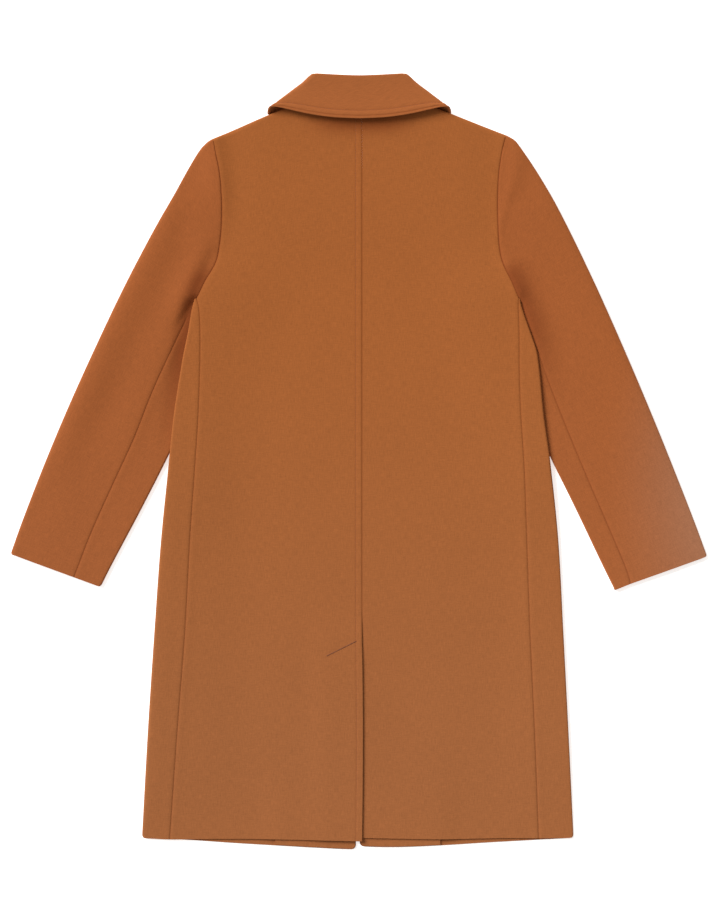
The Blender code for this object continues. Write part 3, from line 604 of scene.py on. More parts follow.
def stations(near, far, step, width, marks=()):
    """Places across a piece, each a share of its width and a distance: exact distances from both edges
    and even steps between them and the marked shares."""
    knots = [(0.0, d) for d in near] + [(m, 0.0) for m in marks] + [(1.0, -d) for d in reversed(far)]
    line = []
    for (share_a, away_a), (share_b, away_b) in zip(knots, knots[1:]):
        gap = (share_b - share_a) * width + away_b - away_a
        count = max(1, round(gap / step))
        line += [(share_a + (share_b - share_a) * n / count, away_a + (away_b - away_a) * n / count)
                 for n in range(count)]
    return line + [knots[-1]]


def seam_relief(distance):
    """The cloth beside a plain seam: a narrow groove, then the allowance pressed behind it."""
    return (SEAM_DIP[0] * bump(distance, 0.0, SEAM_DIP[1])
            + SEAM_SWELL[0] * bump(distance, SEAM_SWELL[1], SEAM_SWELL[2]))


def stitched_relief(distance):
    """The cloth between a seam and the topstitching beside it."""
    return (SEAM_DIP[0] * bump(distance, 0.0, SEAM_DIP[1])
            + STITCH_DIP[0] * bump(distance, STITCH_IN, STITCH_DIP[1])
            + STITCH_SHELF * fade(STITCH_SHELF_END, distance))


def crease_points(line):
    """A crease's line, drawn smoothly through its points."""
    along = smooth_curve([(n, point[0]) for n, point in enumerate(line)])
    up = smooth_curve([(n, point[1]) for n, point in enumerate(line)])
    count = (len(line) - 1) * CREASE_SMOOTHING
    places = [n * (len(line) - 1) / count for n in range(count + 1)]
    return np.array([(along(p), up(p)) for p in places], float)


def crease_relief(x, y, cloth, creases):
    """What the rows of a table of creases together give at places x, y of the cloth's upper layer."""
    total = np.zeros(len(x))
    spots = np.stack([x, y], 1)
    for _, belongs, height, outward, inward, fade_in, fade_out, line in creases:
        if belongs not in ("both", cloth):
            continue
        points = crease_points(line)
        reach = CREASE_REACH * max(outward, inward)
        near = ((x > points[:, 0].min() - reach) & (x < points[:, 0].max() + reach)
                & (y > points[:, 1].min() - reach) & (y < points[:, 1].max() + reach))
        if not near.any():
            continue
        here = spots[near]
        nearest = np.full(len(here), 1e9)
        share = np.zeros(len(here))
        foot = np.zeros_like(here)
        for n in range(len(points) - 1):
            run = points[n + 1] - points[n]
            t = np.clip(((here - points[n]) @ run) / (run @ run), 0.0, 1.0)
            spot = points[n] + t[:, None] * run
            away = np.linalg.norm(here - spot, axis=1)
            closer = away < nearest
            nearest = np.where(closer, away, nearest)
            share = np.where(closer, (n + t) / (len(points) - 1), share)
            foot = np.where(closer[:, None], spot, foot)
        width = np.where(np.abs(here[:, 0]) > np.abs(foot[:, 0]), outward, inward)
        rise = np.clip(share / fade_in, 0.0, 1.0)
        fall = np.clip((1.0 - share) / fade_out, 0.0, 1.0)
        along = rise * rise * (3.0 - 2.0 * rise) * fall * fall * (3.0 - 2.0 * fall)
        total[near] += height * along * np.exp(-(nearest / width) ** 2)
    return total


def settle(points, shares, cloth="body"):
    """Points in mm with the relief of the upper layer added by their share of it, in metres."""
    spots = np.array(points, float)
    shares = np.array(shares, float)
    relief = crease_relief(spots[:, 0], spots[:, 1], cloth, CREASES)
    uneven = np.array([noise.noise(Vector((x / UNEVEN[1], y / UNEVEN[1], 0.0))) for x, y, _ in spots])
    spots[:, 2] += shares * (relief + UNEVEN[0] * uneven)
    if cloth == "sleeve":
        spots[:, 2] = np.where(shares == 1.0, np.maximum(spots[:, 2], SLEEVE_LEAST), spots[:, 2])
    return spots * MM


def groove(distance):
    """How much painted shade a place takes by how far it lies in a seam's groove: the colour is darkened
    there to stand in for the shade where no light gets between the cut edges' nap.
    """
    return bump(distance, 0.0, SEAM_SHADE_WIDTH)


# ---------------------------------------------------------------- making cloth

def finish_piece(piece, node, slot):
    """The piece rides with the coat and stands for its solid. slot is not used."""
    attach(piece, BODY)
    if node:
        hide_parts(node)
    return piece


def new_object(name, mesh, material):
    data = bpy.data.meshes.new(name)
    mesh.to_mesh(data)
    mesh.free()
    data.shade_smooth()
    data.materials.append(material)
    piece = bpy.data.objects.new(name, data)
    bpy.context.scene.collection.objects.link(piece)
    return piece


def lay_cloth(name, columns, rows, place, material, turned=False, missing=None):
    """A cut piece: a grid whose corners go where place(column, row) says, with its wall behind it.

    place gives a point in mm, its share of the upper layer's relief and how much painted shade it takes
    in a seam's groove; the painted shade of the deepest folds is added to that here. The UV map holds the
    distances along the cloth in metres, so that the weave follows each piece's own grain.
    """
    across, along = len(columns), len(rows)
    laid = [place(column, row) for row in rows for column in columns]
    cloth = "sleeve" if name.startswith("sleeve") else "body"
    spots = settle([spot[0] for spot in laid], [spot[1] for spot in laid], cloth).reshape(along, across, 3)
    above = np.array([spot[1] for spot in laid])
    # painted shade of the deepest folds, kept in the same vertex values as the seams' painted shade
    painted_fold_shade = above * crease_relief(*np.array([spot[0][:2] for spot in laid]).T, cloth, PAINTED_FOLD_SHADE)
    painted_shade_amounts = np.maximum([spot[2] for spot in laid], painted_fold_shade).reshape(along, across)
    run_u = np.zeros((along, across))
    run_v = np.zeros((along, across))
    run_u[:, 1:] = np.cumsum(np.linalg.norm(np.diff(spots, axis=1), axis=2), axis=1)
    run_v[1:, :] = np.cumsum(np.linalg.norm(np.diff(spots, axis=0), axis=2), axis=0)
    run_v[:] = run_v[:, [across // 2]]
    mesh = bmesh.new()
    # the vertex attribute groove holds painted shade, which darkens the wool's colour
    grooves = mesh.verts.layers.float.new("groove")
    grain = mesh.loops.layers.uv.new("grain")
    bmesh.ops.create_grid(mesh, x_segments=across - 1, y_segments=along - 1, size=0.5)
    where = {corner: (round((corner.co.x + 0.5) * (across - 1)), round((corner.co.y + 0.5) * (along - 1)))
             for corner in mesh.verts}
    if missing:
        unwanted = [face for face in mesh.faces
                    if missing(min(where[c][0] for c in face.verts), min(where[c][1] for c in face.verts))]
        bmesh.ops.delete(mesh, geom=unwanted, context="FACES")
    for face in mesh.faces:
        for loop in face.loops:
            column, row = where[loop.vert]
            loop[grain].uv = (run_u[row, column], run_v[row, column])
    for corner in mesh.verts:
        column, row = where[corner]
        corner.co = spots[row, column]
        corner[grooves] = painted_shade_amounts[row, column]
    if turned:
        bmesh.ops.reverse_faces(mesh, faces=mesh.faces)
    area = sum(face.calc_area() for face in mesh.faces)
    piece = new_object(name, mesh, material)
    sizes = bpy.context.scene.overcoat_sizes
    wall = piece.modifiers.new("wall", "SOLIDIFY")
    wall.thickness = sizes.wall
    wall.offset = -1.0
    edge = piece.modifiers.new("edge", "BEVEL")
    edge.width = sizes.edge_round
    edge.segments = EDGE_FACETS
    edge.limit_method = "ANGLE"
    edge.angle_limit = EDGE_ANGLE
    edge.harden_normals = True
    cut = (float(run_u[:, -1].max()), float(run_v.max()))
    return piece, cut, area


def declare_sheet(made):
    """Works out the smaller of the piece's area and the area of its cut, and does nothing with the result."""
    piece, cut, area = made
    min(area, cut[0] * cut[1])


# ---------------------------------------------------------------- body

@lru_cache(maxsize=None)
def shoulder_frame(side):
    """The shoulder's end points in plan and its outward normal."""
    neck = mirrored(side, *NECK_SIDE) + Vector((COLLAR_MIDDLE, 0.0))
    tip = mirrored(side, *SHOULDER_TIP[side])
    along = (tip - neck).normalized()
    normal = Vector((-along.y, along.x)) * SIDES[side]
    return neck, tip, normal


def neck_and_shoulder(side, u, inset):
    """The upper edge of a back, from the centre over the neck side to the shoulder tip."""
    neck, tip, normal = shoulder_frame(side)
    if u < NECK_SHARE:
        t = u / NECK_SHARE
        x = CENTRE_BACK + (neck.x - CENTRE_BACK) * t
        y = NECK_BACK_Y + (neck.y - NECK_BACK_Y) * t ** NECK_CURVE
        return Vector((x, y)) - normal * inset * t
    return mix(neck, tip, (u - NECK_SHARE) / (1.0 - NECK_SHARE)) - normal * inset


@lru_cache(maxsize=None)
def armhole_curves(side, column, start_in):
    _, tip, normal = shoulder_frame(side)
    start = tip - normal * start_in
    across = [(0, start.x)] + [(n, SIDES[side] * row[column]) for n, row in enumerate(ARMHOLE) if n]
    up = [(0, start.y)] + [(n, row[0]) for n, row in enumerate(ARMHOLE) if n]
    return smooth_curve(across), smooth_curve(up)


def armhole(side, t, column, gap, start_in=FLAT / 2.0):
    """A point of the armhole, from start_in behind the shoulder tip at 0 to the underarm at 1."""
    across, up = armhole_curves(side, column, start_in)
    return Vector((across(t * ARM_LAST) + SIDES[side] * gap, up(t * ARM_LAST)))


def hem_shift(hem, side, x, y):
    """How far a point of a row moves along the coat, for the last row to lie on the hem."""
    return (hem[side](abs(x)) - HEM_Y) * ramp(HEM_BEND_Y, HEM_Y, y)


def arm_point(side, u, passed, top, column, start_in=FLAT / 2.0):
    """The plan point of a back or front panel beside the armhole."""
    start = top(0.0)
    level = Vector((start.x, UNDERARM_Y))

    def middle(v):
        return mix(start, level, v)

    def straight(share):
        return mix(level, armhole(side, 1.0, column, -SEAM / 2.0), share)

    def outer_edge(v):
        return armhole(side, v, column, -SEAM / 2.0, start_in)
    return patch(u, passed, top, straight, middle, outer_edge)


def lower_point(side, u, y, centre, edge, hem):
    """The plan point of a back or front panel below the armhole."""
    x = centre + (SIDES[side] * edge - centre) * u
    return Vector((x, y + hem_shift(hem, side, x, y)))


def body_rows(step):
    """Rows of a body panel: beside the armhole by the share passed, below it by height."""
    arm = [("arm", share) for share, _ in stations((0.0,), (0.0,), step, ARMHOLE_LENGTH)[:-1]]
    length = UNDERARM_Y - HEM_Y
    below = stations((0.0,), CUT_EDGE, step, length)
    return arm + [("below", UNDERARM_Y - length * share - away) for share, away in below]


def back_height(side, plan, from_centre):
    """The upper layer's height, with the vent's lapped edge lifted over the underlay."""
    height = top_of(plan.x, plan.y)
    if side == "right":
        return height
    above_vent = plan.y - VENT_TOP
    beside = fade(VENT_LIFT_BESIDE, CENTRE_BACK - VENT_UNDERLAY - plan.x)
    curl = VENT_CURL * fade(VENT_CURL_REACH, from_centre) * fade(VENT_CURL_ABOVE, above_vent)
    return height + VENT_LIFT * beside * fade(VENT_LIFT_ABOVE, above_vent) + curl


def back_relief(side, plan, from_centre, from_edge):
    """The grooves at the outer seam, at the centre seam and at its topstitching. The right back lies plain
    beside the centre seam, but for the dent where the seam ends at the vent."""
    above_vent = plan.y - VENT_TOP
    opened = fade(SEAM_OPENS, above_vent)
    if side == "left":
        centre = stitched_relief(from_centre) - SEAM_DIP[0] * opened * bump(from_centre, 0.0, SEAM_DIP[1])
    else:
        centre = seam_relief(from_centre) * (1.0 - opened) * fade(SEAM_END_DENT, above_vent)
    return centre + seam_relief(from_edge)


def back_place(side):
    """Places of a back: it turns over the shoulder to a forward seam, and the rest lies on top."""
    normal = shoulder_frame(side)[2]

    def top(u):
        return neck_and_shoulder(side, u, FLAT / 2.0)

    def shoulder(u, kind, angle):
        edge = neck_and_shoulder(side, u, 0.0)
        low = ground(edge.x, edge.y)
        point = round_fold(edge, normal, angle, low, low + FLAT)
        if kind == "wrap":
            outward = SIDES[side] * SEAM if abs(u - NECK_SHARE) < NECK_NEAR else 0.0
            point += Vector((outward - normal.x * SHOULDER_WRAP, -normal.y * SHOULDER_WRAP, 0.0))
        return point, top_share(angle), 0.0

    def place(column, row):
        kind, value = row
        share, away = column
        if kind in ("wrap", "fold"):
            return shoulder(share + away / SHOULDER_WIDTH, kind, value)
        if kind == "arm":
            width = abs(armhole(side, value, BACK_COLUMN[side], 0.0).x - CENTRE_BACK)
            u = share + away / width
            plan = arm_point(side, u, value, top, BACK_COLUMN[side])
        else:
            edge = side_seam[side](value) - SEAM / 2.0
            width = abs(SIDES[side] * edge - CENTRE_BACK)
            u = share + away / width
            plan = lower_point(side, u, value, CENTRE_BACK, edge, back_hem)
        from_centre = u * width
        from_edge = (1.0 - u) * width
        if side == "left":
            bow = math.sin(math.pi * min(1.0, max(0.0, (VENT_TOP - plan.y) / (VENT_TOP - HEM_Y))))
            plan.x += VENT_BOW * bow * fade(VENT_BOW_REACH, from_centre)
        height = back_height(side, plan, from_centre) + back_relief(side, plan, from_centre, from_edge)
        # painted shade in the grooves of the seams and of the topstitching
        stitching = STITCH_SHADE * groove(from_centre - STITCH_IN) if side == "left" else 0.0
        at_edge = groove(from_edge) * (PLAIN_SHADE if kind == "below" else ARMHOLE_SHADE)
        at_centre = PLAIN_SHADE * groove(from_centre) * ramp(*SEAM_END_SHADE, plan.y - VENT_TOP)
        return Vector((plan.x, plan.y, height)), 1.0, max(at_edge, at_centre, stitching)
    return place


def make_back(side, material):
    place = back_place(side)
    near = STITCHED_EDGE if side == "left" else SEAM_EDGE
    columns = stations(near, SEAM_EDGE, FINE, BACK_WIDTH, marks=(NECK_SHARE,))
    neck_column = min(range(len(columns)), key=lambda n: abs(columns[n][0] - NECK_SHARE) + abs(columns[n][1]))
    turn = [("wrap", -90.0)] + [("fold", angle) for angle in reversed(fold_angles()[1:])]
    rows = turn + body_rows(FINE)
    underlay = 0
    if side == "right":
        underlay = round(VENT_UNDERLAY / FINE)
        columns = [(0.0, -VENT_UNDERLAY * (underlay - n) / underlay) for n in range(underlay)] + columns
    vent_row = next(n for n, (kind, value) in enumerate(rows)
                    if kind == "below" and value <= VENT_TOP - UNDERLAY_FROM)

    def with_underlay(column, row):
        share, away = column
        if away >= 0.0 or share > 0.0:
            return place(column, row)
        point, layer, _ = place((0.0, 0.0), row)
        return point + Vector((away, 0.0, 0.0)), layer, 0.0

    def missing(column, row):
        if column < underlay:
            return row < vent_row
        return row < len(turn) and column - underlay < neck_column

    return lay_cloth("back_" + side + "_cloth", columns, rows, with_underlay, material,
                     turned=(side == "right"), missing=missing)


def collar_line(name, q):
    """A half-line of the collar: q runs 0 to 1 along the back to the side fold, 1 to 2 along the front."""
    back_y, fold, end, bow = COLLAR_LINES[name]
    if q <= 1.0 and name == "edge":
        return Vector((fold[0] * q, collar_edge_rise(q)))
    if q <= 1.0:
        return Vector((fold[0] * q, back_y + (fold[1] - back_y) * q ** NECK_CURVE))
    t = q - 1.0
    chord = Vector(end) - Vector(fold)
    outward = Vector((chord.y, -chord.x)).normalized()
    if outward.y > 0:
        outward = -outward
    return Vector(fold) + chord * t + outward * bow * math.sin(math.pi * t)


def front_place(side, lift=0.0):
    """Places of a front's outer face, which lies on the surface; lift moves them inward."""
    neck, tip, normal = shoulder_frame(side)
    edge = FRONT_EDGE[side]
    shoulder_in = FLAT / 2.0 + SHOULDER_WRAP + SEAM

    def top(u):
        if u <= 0.0:
            return Vector((edge, collar_line("neck", 2.0).y - NECK_END_DROP))
        if u < NECK_SHARE:
            half, y = collar_line("neck", 2.0 - u / NECK_SHARE)
            return Vector((SIDES[side] * half + COLLAR_MIDDLE, y))
        point = mix(neck, tip, (u - NECK_SHARE) / (1.0 - NECK_SHARE)) - normal * shoulder_in
        inward = SEAM if u == 1.0 else 0.0
        outward = NECK_GAP if u == NECK_SHARE else 0.0
        return Vector((point.x + SIDES[side] * (outward - inward), point.y))

    def place(column, row):
        kind, value = row
        share, away = column
        if kind == "arm":
            width = abs(armhole(side, value, FRONT_COLUMN, 0.0).x - edge)
            u = share + away / width
            plan = arm_point(side, u, value, top, FRONT_COLUMN, shoulder_in)
        else:
            outer = side_fold[side](value) - FRONT_SEAM_IN - SEAM / 2.0
            width = abs(SIDES[side] * outer - edge)
            u = share + away / width
            plan = lower_point(side, u, value, edge, outer, front_hem)
            plan = round_corner(plan, (edge, front_hem[side](abs(edge))), (0.0, 1.0), (SIDES[side], 0.0),
                                CORNER_ROUND)
        return Vector((plan.x, plan.y, ground(plan.x, plan.y) + lift)), 0.0, 0.0
    return place


def make_front(side, material):
    columns = stations(FRONT_EDGE_STEPS, CUT_EDGE, COARSE, FRONT_WIDTH, marks=(NECK_SHARE,))
    return lay_cloth("front_" + side + "_cloth", columns, body_rows(COARSE), front_place(side), material,
                     turned=(side == "left"))


def make_facing(side, material):
    """The facing lies on the inside of the front, from the hem to the neck."""
    place = front_place(side, lift=WALL + SEAM + WALL)
    rows = body_rows(COARSE)
    whole = stations(FRONT_EDGE_STEPS, (0.0,), COARSE, FACING_WIDTH)
    columns = [(share * FACING_SHARE, away * (1.0 - share)) for share, away in whole]

    def inside(column, row):
        point, layer, depth = place(column, row)
        if column[0] == 0.0:
            point.x += SIDES[side] * FACING_IN * fade(FACING_IN_REACH, column[1])
        if row == rows[0]:
            point.y -= FACING_ENDS[0]
        if row == rows[-1]:
            point.y += FACING_ENDS[1]
        return point, layer, depth
    return lay_cloth("facing_" + side + "_cloth", columns, rows, inside, material, turned=(side == "right"))


def make_side_panel(side, material):
    """The side panel: on top from the back seam, round the folded edge, and under to the front seam."""
    length = UNDERARM_Y - HEM_Y
    rows = [UNDERARM_Y - length * share - away for share, away in stations((0.0,), CUT_EDGE, FINE, length)]
    columns = wrapped(SIDE_SHARES[:-1], SIDE_UNDER_COUNT)
    corner = mirrored(side, side_fold[side](HEM_Y), back_hem[side](side_fold[side](HEM_Y)))

    def place(column, y):
        kind, value = column
        fold = side_fold[side](y)
        seam = side_seam[side](y) + SEAM / 2.0
        tip = mirrored(side, fold, y)
        low = ground(tip.x, tip.y)
        high = top_of(tip.x, tip.y)
        even = (high - low) / 2.0
        deeper = (SIDE_FOLD_DEPTH[side] - even) * fade(SIDE_FOLD_BELOW, y)
        depth = min(even + deeper, TOP_END_FOLD * (fold - seam))
        dark = 0.0
        if kind == "top":
            width = fold - depth - seam
            # painted shade in the seam's groove
            dark = PLAIN_SHADE * groove(width * value)
            point = mirrored(side, seam + width * value, y)
            point.y += hem_shift(back_hem, side, point.x, y)
            spot = Vector((point.x, point.y, top_of(point.x, point.y) + seam_relief(width * value)))
            share = 1.0
        elif kind == "under":
            start = fold - depth
            point = mirrored(side, start + (fold - FRONT_SEAM_IN + SEAM / 2.0 - start) * value, y)
            point.y += hem_shift(front_hem, side, point.x, y)
            spot = Vector((point.x, point.y, ground(point.x, point.y)))
            share = 0.0
        else:
            spot = round_fold(tip, Vector((SIDES[side], 0.0)), value, low, high, depth)
            spot.y += hem_shift(back_hem, side, spot.x, y)
            share = top_share(value)
        spot = with_corner(spot, corner, (-HEM_CORNER_LEAN * SIDES[side], 1.0),
                           (-SIDES[side], -HEM_CORNER_LEAN), HEM_ROUND)
        return spot, share, dark
    return lay_cloth("side_" + side + "_cloth", columns, rows, place, material, turned=(side == "right"))


# ---------------------------------------------------------------- sleeves

def sleeve_share(row):
    """How far a row below the underarm is on its way to the cuff."""
    return max(0.0, (row - ARM_ROWS) / CUFF_ROWS)


def facing_out(curve, side, y, toward):
    """The plan normal of a fold; toward is 1 for outward, -1 for inward."""
    above = mirrored(side, curve[side](y + FOLD_REACH), y + FOLD_REACH)
    below = mirrored(side, curve[side](y - FOLD_REACH), y - FOLD_REACH)
    along = (below - above).normalized()
    return Vector((-along.y, along.x)) * SIDES[side] * toward


def outer_fold(side, row):
    """The outer fold of a sleeve on a row: its outermost point and its outward normal."""
    if row <= ARM_ROWS:
        y = outer_y[side](row + 1)
    else:
        last = outer_y[side](ARM_LAST)
        y = last + (CUFF_OUTER_Y[side] - last) * sleeve_share(row)
    tip = mirrored(side, sleeve_outer[side](y), y)
    at_tip = fade((0.0, 1.0), row)
    tip.x += SIDES[side] * TIP_GAP * at_tip
    normal = mix(facing_out(sleeve_outer, side, y, 1.0), shoulder_frame(side)[2], at_tip)
    return tip, normal.normalized()


def inner_fold(side, row):
    """The inner fold on a row; its top end is tucked under the body and faces down."""
    y = INNER_TOP_Y + (CUFF_INNER[side][1] - INNER_TOP_Y) * sleeve_share(row)
    tip = mirrored(side, sleeve_inner[side](y), y)
    straight = facing_out(sleeve_inner, side, y, -1.0)
    at_top = Vector((-SIDES[side] * INNER_FOLD_TOP[0], INNER_FOLD_TOP[1]))
    return tip, mix(at_top, straight, ramp(0.0, INNER_FOLD_TURN, sleeve_share(row))).normalized()


@lru_cache(maxsize=None)
def cuff_end(side, share):
    """The place of a seam on the cuff's edge, from the outer corner at 0 to the inner one at 1."""
    outer = mirrored(side, sleeve_outer[side](CUFF_OUTER_Y[side]), CUFF_OUTER_Y[side])
    return mix(outer, mirrored(side, *CUFF_INNER[side]), share)


def sleeve_seam(side, curve, cuff_share, row, outward):
    """A lengthwise seam below the armhole, moved outward by the given amount."""
    end = cuff_end(side, cuff_share)
    y = SLEEVE_TOP_Y + (end.y - SLEEVE_TOP_Y) * sleeve_share(row)
    drift = SIDES[side] * end.x - curve[side](end.y)
    return mirrored(side, curve[side](y) + drift * sleeve_share(row) ** 3 + outward, y)


def hind_edge(side, row):
    """The top sleeve's edge on top: along the back armhole, then down the hind seam."""
    if row <= ARM_ROWS:
        return armhole(side, (row + 1) / ARM_LAST, BACK_COLUMN[side], SEAM)
    return sleeve_seam(side, hind_seam, HIND_SHARE[side], row, SEAM / 2.0)


def forearm_edge(side, row):
    """The top sleeve's edge underneath: along the front armhole, then down the forearm seam."""
    if row <= ARM_ROWS:
        return armhole(side, (row + 1) / ARM_LAST, FRONT_COLUMN, SEAM)
    return sleeve_seam(side, forearm_seam, FOREARM_SHARE, row, SEAM / 2.0)


def sleeve_height(row):
    """The flattened thickness of a sleeve: the body's at the shoulder, less from the underarm down."""
    return FLAT + (SLEEVE_FLAT - FLAT) * ramp(ARM_ROWS - FLATTEN_ROWS, ARM_ROWS, row)


def with_cuff_corners(side, spot):
    """Rounds the two corners where the folds meet the cuff's edge."""
    outer, inner = cuff_end(side, 0.0), cuff_end(side, 1.0)
    along = (inner - outer).normalized()
    upward = Vector((-along.y, along.x)) * (1.0 if side == "left" else -1.0)
    spot = with_corner(spot, outer, along, upward, CUFF_ROUND)
    return with_corner(spot, inner, -along, upward, CUFF_ROUND)


def rows_to_cuff(length):
    """Rows from the underarm to the cuff, for a piece about this long."""
    return [ARM_ROWS + CUFF_ROWS * (share + away / length)
            for share, away in stations((0.0,), CUT_EDGE, FINE, length)]


def make_top_sleeve(side, material):
    """The top sleeve: from the hind edge over the top, round the outer fold and under."""
    head = [ARM_ROWS * share for share, _ in stations((0.0,), (0.0,), FINE, SLEEVE_HEAD_LENGTH)]
    rows = head + rows_to_cuff(TOP_SLEEVE_LENGTH)[1:]
    columns = wrapped(stations(SEAM_EDGE, (0.0,), FINE, TOP_SLEEVE_WIDTH)[:-1], SLEEVE_UNDER_COUNT)

    def place(column, row):
        kind, value = column
        height = sleeve_height(row)
        tip, normal = outer_fold(side, row)
        depth = height / 2.0 + (OUTER_FOLD_DEPTH[side] - height / 2.0) * ramp(0.0, OUTER_FOLD_ROWS, row)
        axis = tip - normal * depth
        dark = 0.0
        if kind == "top":
            edge = hind_edge(side, row)
            width = (axis - edge).length
            u = value[0] + value[1] / (width if width > 2.0 * SEAM_EDGE[-1] else TOP_SLEEVE_WIDTH)
            plan = mix(edge, axis, u)
            swell = SLEEVE_SWELL * math.sin(math.pi * u) * ramp(0.0, SWELL_ROWS, row)
            from_seam = u * width
            late = ramp(*UNDERARM_ROWS, row)
            reach = [a + (b - a) * late for a, b in zip(SEAM_RISE_REACH, UNDERARM_REACH[side])]
            last = UNDERARM_DROP[1] + UNDERARM_SLOPE[side] * ramp(*UNDERARM_SLOPE_IN, from_seam)
            rise = top_of(edge.x, edge.y) - height
            rise *= fade((UNDERARM_DROP[0], last), row) * fade(reach, from_seam)
            pressed = sleeve_top(side, plan.x, plan.y) - SLEEVE_FLAT
            spot = Vector((plan.x, plan.y, height + swell + rise + pressed + seam_relief(from_seam)))
            # painted shade in the groove of the armhole seam or the hind seam
            share, dark = 1.0, groove(from_seam) * (ARMHOLE_SHADE if row < ARM_ROWS else PLAIN_SHADE)
        elif kind == "under":
            plan = mix(axis, forearm_edge(side, row), value)
            spot, share = Vector((plan.x, plan.y, 0.0)), 0.0
        else:
            spot, share = round_fold(tip, normal, value, 0.0, height, depth), top_share(value)
        return with_cuff_corners(side, spot), share, dark
    return lay_cloth("sleeve_%s_top_cloth" % side, columns, rows, place, material, turned=(side == "right"))


def make_under_sleeve(side, material):
    """The under sleeve: from the hind seam, round the inner fold, under to the forearm seam."""
    rows = rows_to_cuff(UNDER_SLEEVE_LENGTH)
    columns = wrapped(SIDE_SHARES[:-1], SLEEVE_UNDER_COUNT)

    def place(column, row):
        kind, value = column
        tip, normal = inner_fold(side, row)
        axis = tip - normal * INNER_FOLD_DEPTH
        dark = 0.0
        if kind == "top":
            edge = sleeve_seam(side, hind_seam, HIND_SHARE[side], row, -SEAM / 2.0)
            plan = mix(edge, axis, value)
            from_seam = (plan - edge).length
            spot = Vector((plan.x, plan.y, sleeve_top(side, plan.x, plan.y) + seam_relief(from_seam)))
            # painted shade in the hind seam's groove
            share, dark = 1.0, PLAIN_SHADE * groove(from_seam)
        elif kind == "under":
            edge = sleeve_seam(side, forearm_seam, FOREARM_SHARE, row, -SEAM / 2.0)
            plan = mix(axis, edge, value)
            spot, share = Vector((plan.x, plan.y, 0.0)), 0.0
        else:
            high = sleeve_top(side, tip.x, tip.y)
            spot, share = round_fold(tip, normal, value, 0.0, high, INNER_FOLD_DEPTH), top_share(value)
        return with_cuff_corners(side, spot), share, dark
    return lay_cloth("sleeve_%s_under_cloth" % side, columns, rows, place, material, turned=(side == "left"))


# ---------------------------------------------------------------- collar

def collar_stations(back_step, front_step):
    """Stations round the neck as (side, q, angle), from the left front end over the back to the right."""
    back = round(COLLAR_BACK_LENGTH / back_step)
    front = round(COLLAR_FRONT_LENGTH / front_step)
    half = [(n / back, 90.0) for n in range(1, back)]
    half += [(1.0, angle) for angle in fold_angles()]
    half += [(1.0 + n / front, -90.0) for n in range(1, front + 1)]
    left = [("left", q, angle) for q, angle in reversed(half)]
    return left + [("left", 0.0, 90.0)] + [("right", q, angle) for q, angle in half]


def fold_normal(side, level):
    """The way the side fold faces at a level: -1 at the neck seam, 0 at the roll, 1 at the outer edge."""
    turn = math.radians(fold_heading(level))
    return Vector((SIDES[side] * math.cos(turn), math.sin(turn)))


def collar_point(side, q, angle, level, reach):
    """A point of the collar at a station, a level and a distance from the middle of its flat tube."""
    low, high, share = ("neck", "roll", level + 1.0) if level < 0.0 else ("roll", "edge", level)
    plan = mix(collar_line(low, q), collar_line(high, q), share)
    plan = Vector((COLLAR_MIDDLE + SIDES[side] * plan.x, plan.y))
    middle = NECK_LIFT + FLAT / 2.0
    normal = fold_normal(side, level)
    inset = FLAT / 2.0 + FALL_REACH * ramp(0.0, FALL_SPREAD, level)
    drop = COLLAR_END_DROP * max(0.0, level) ** COLLAR_DROP_POWER
    turn = math.radians(angle)
    beside = q if q <= 1.0 else 2.0 - q
    out = reach * math.cos(turn) if q == 1.0 else 0.0
    if q < 1.0:
        sink = 0.0
    elif q > 1.0:
        sink = beside ** COLLAR_DROP_POWER
    else:
        sink = 1.0 - max(0.0, math.sin(turn))
    plan.y -= COLLAR_SIDE_SAG * math.sin(math.pi * max(0.0, level)) * beside ** COLLAR_SAG_POWER
    spot = plan + normal * (out - inset * beside ** COLLAR_INSET_POWER)
    for corner_level, radius, first, second in COLLAR_CORNERS:
        name = "roll" if corner_level == 0.0 else "edge"
        corner = COLLAR_LINES[name][1]
        corner = Vector((COLLAR_MIDDLE + SIDES[side] * corner[0], corner[1]))
        spot = round_corner(spot, corner, (SIDES[side] * first[0], first[1]),
                            (SIDES[side] * second[0], second[1]), radius)
    return Vector((spot.x, spot.y - drop * sink, middle + reach * math.sin(turn)))


def make_stand(material):
    """The stand: from the neck seam up to just below the roll."""
    low = -1.0 + NECK_GAP / STAND_HEIGHT
    high = -STAND_SEAM_DROP / STAND_HEIGHT
    levels = [low + (high - low) * n / STAND_ROWS for n in range(STAND_ROWS + 1)]

    def place(station, level):
        side, q, angle = station
        return collar_point(side, q, angle, level, FLAT / 2.0), 0.0, 0.0
    return lay_cloth("collar_stand_cloth", collar_stations(*STAND_STEPS), levels, place, material)


def fall_profile():
    """The fall's rows as (level, reach): from its seam with the stand, over the roll, to the outer edge."""
    inner = FLAT / 2.0 - WALL
    outer = FLAT / 2.0 + FALL_REACH
    middle = (inner + outer) / 2.0
    radius = (outer - inner) / 2.0
    seam = (STAND_SEAM_DROP - STAND_GAP) / STAND_HEIGHT
    profile = [(-seam, inner), (-FALL_INNER_ROW * seam, inner), (-radius / STAND_HEIGHT, inner)]
    for step in range(1, FOLD_TURNS):
        turn = math.pi * step / FOLD_TURNS
        drop = radius * (1.0 - math.sin(turn))
        scale, sign = (STAND_HEIGHT, -1.0) if turn < math.pi / 2.0 else (FALL_HEIGHT, 1.0)
        profile.append((sign * drop / scale, middle - radius * math.cos(turn)))
    flat = FALL_HEIGHT - radius
    for share, away in stations((0.0,), COLLAR_EDGE_STEPS, FALL_ROW_STEP, flat):
        profile.append(((radius + share * flat + away) / FALL_HEIGHT, outer))
    return profile


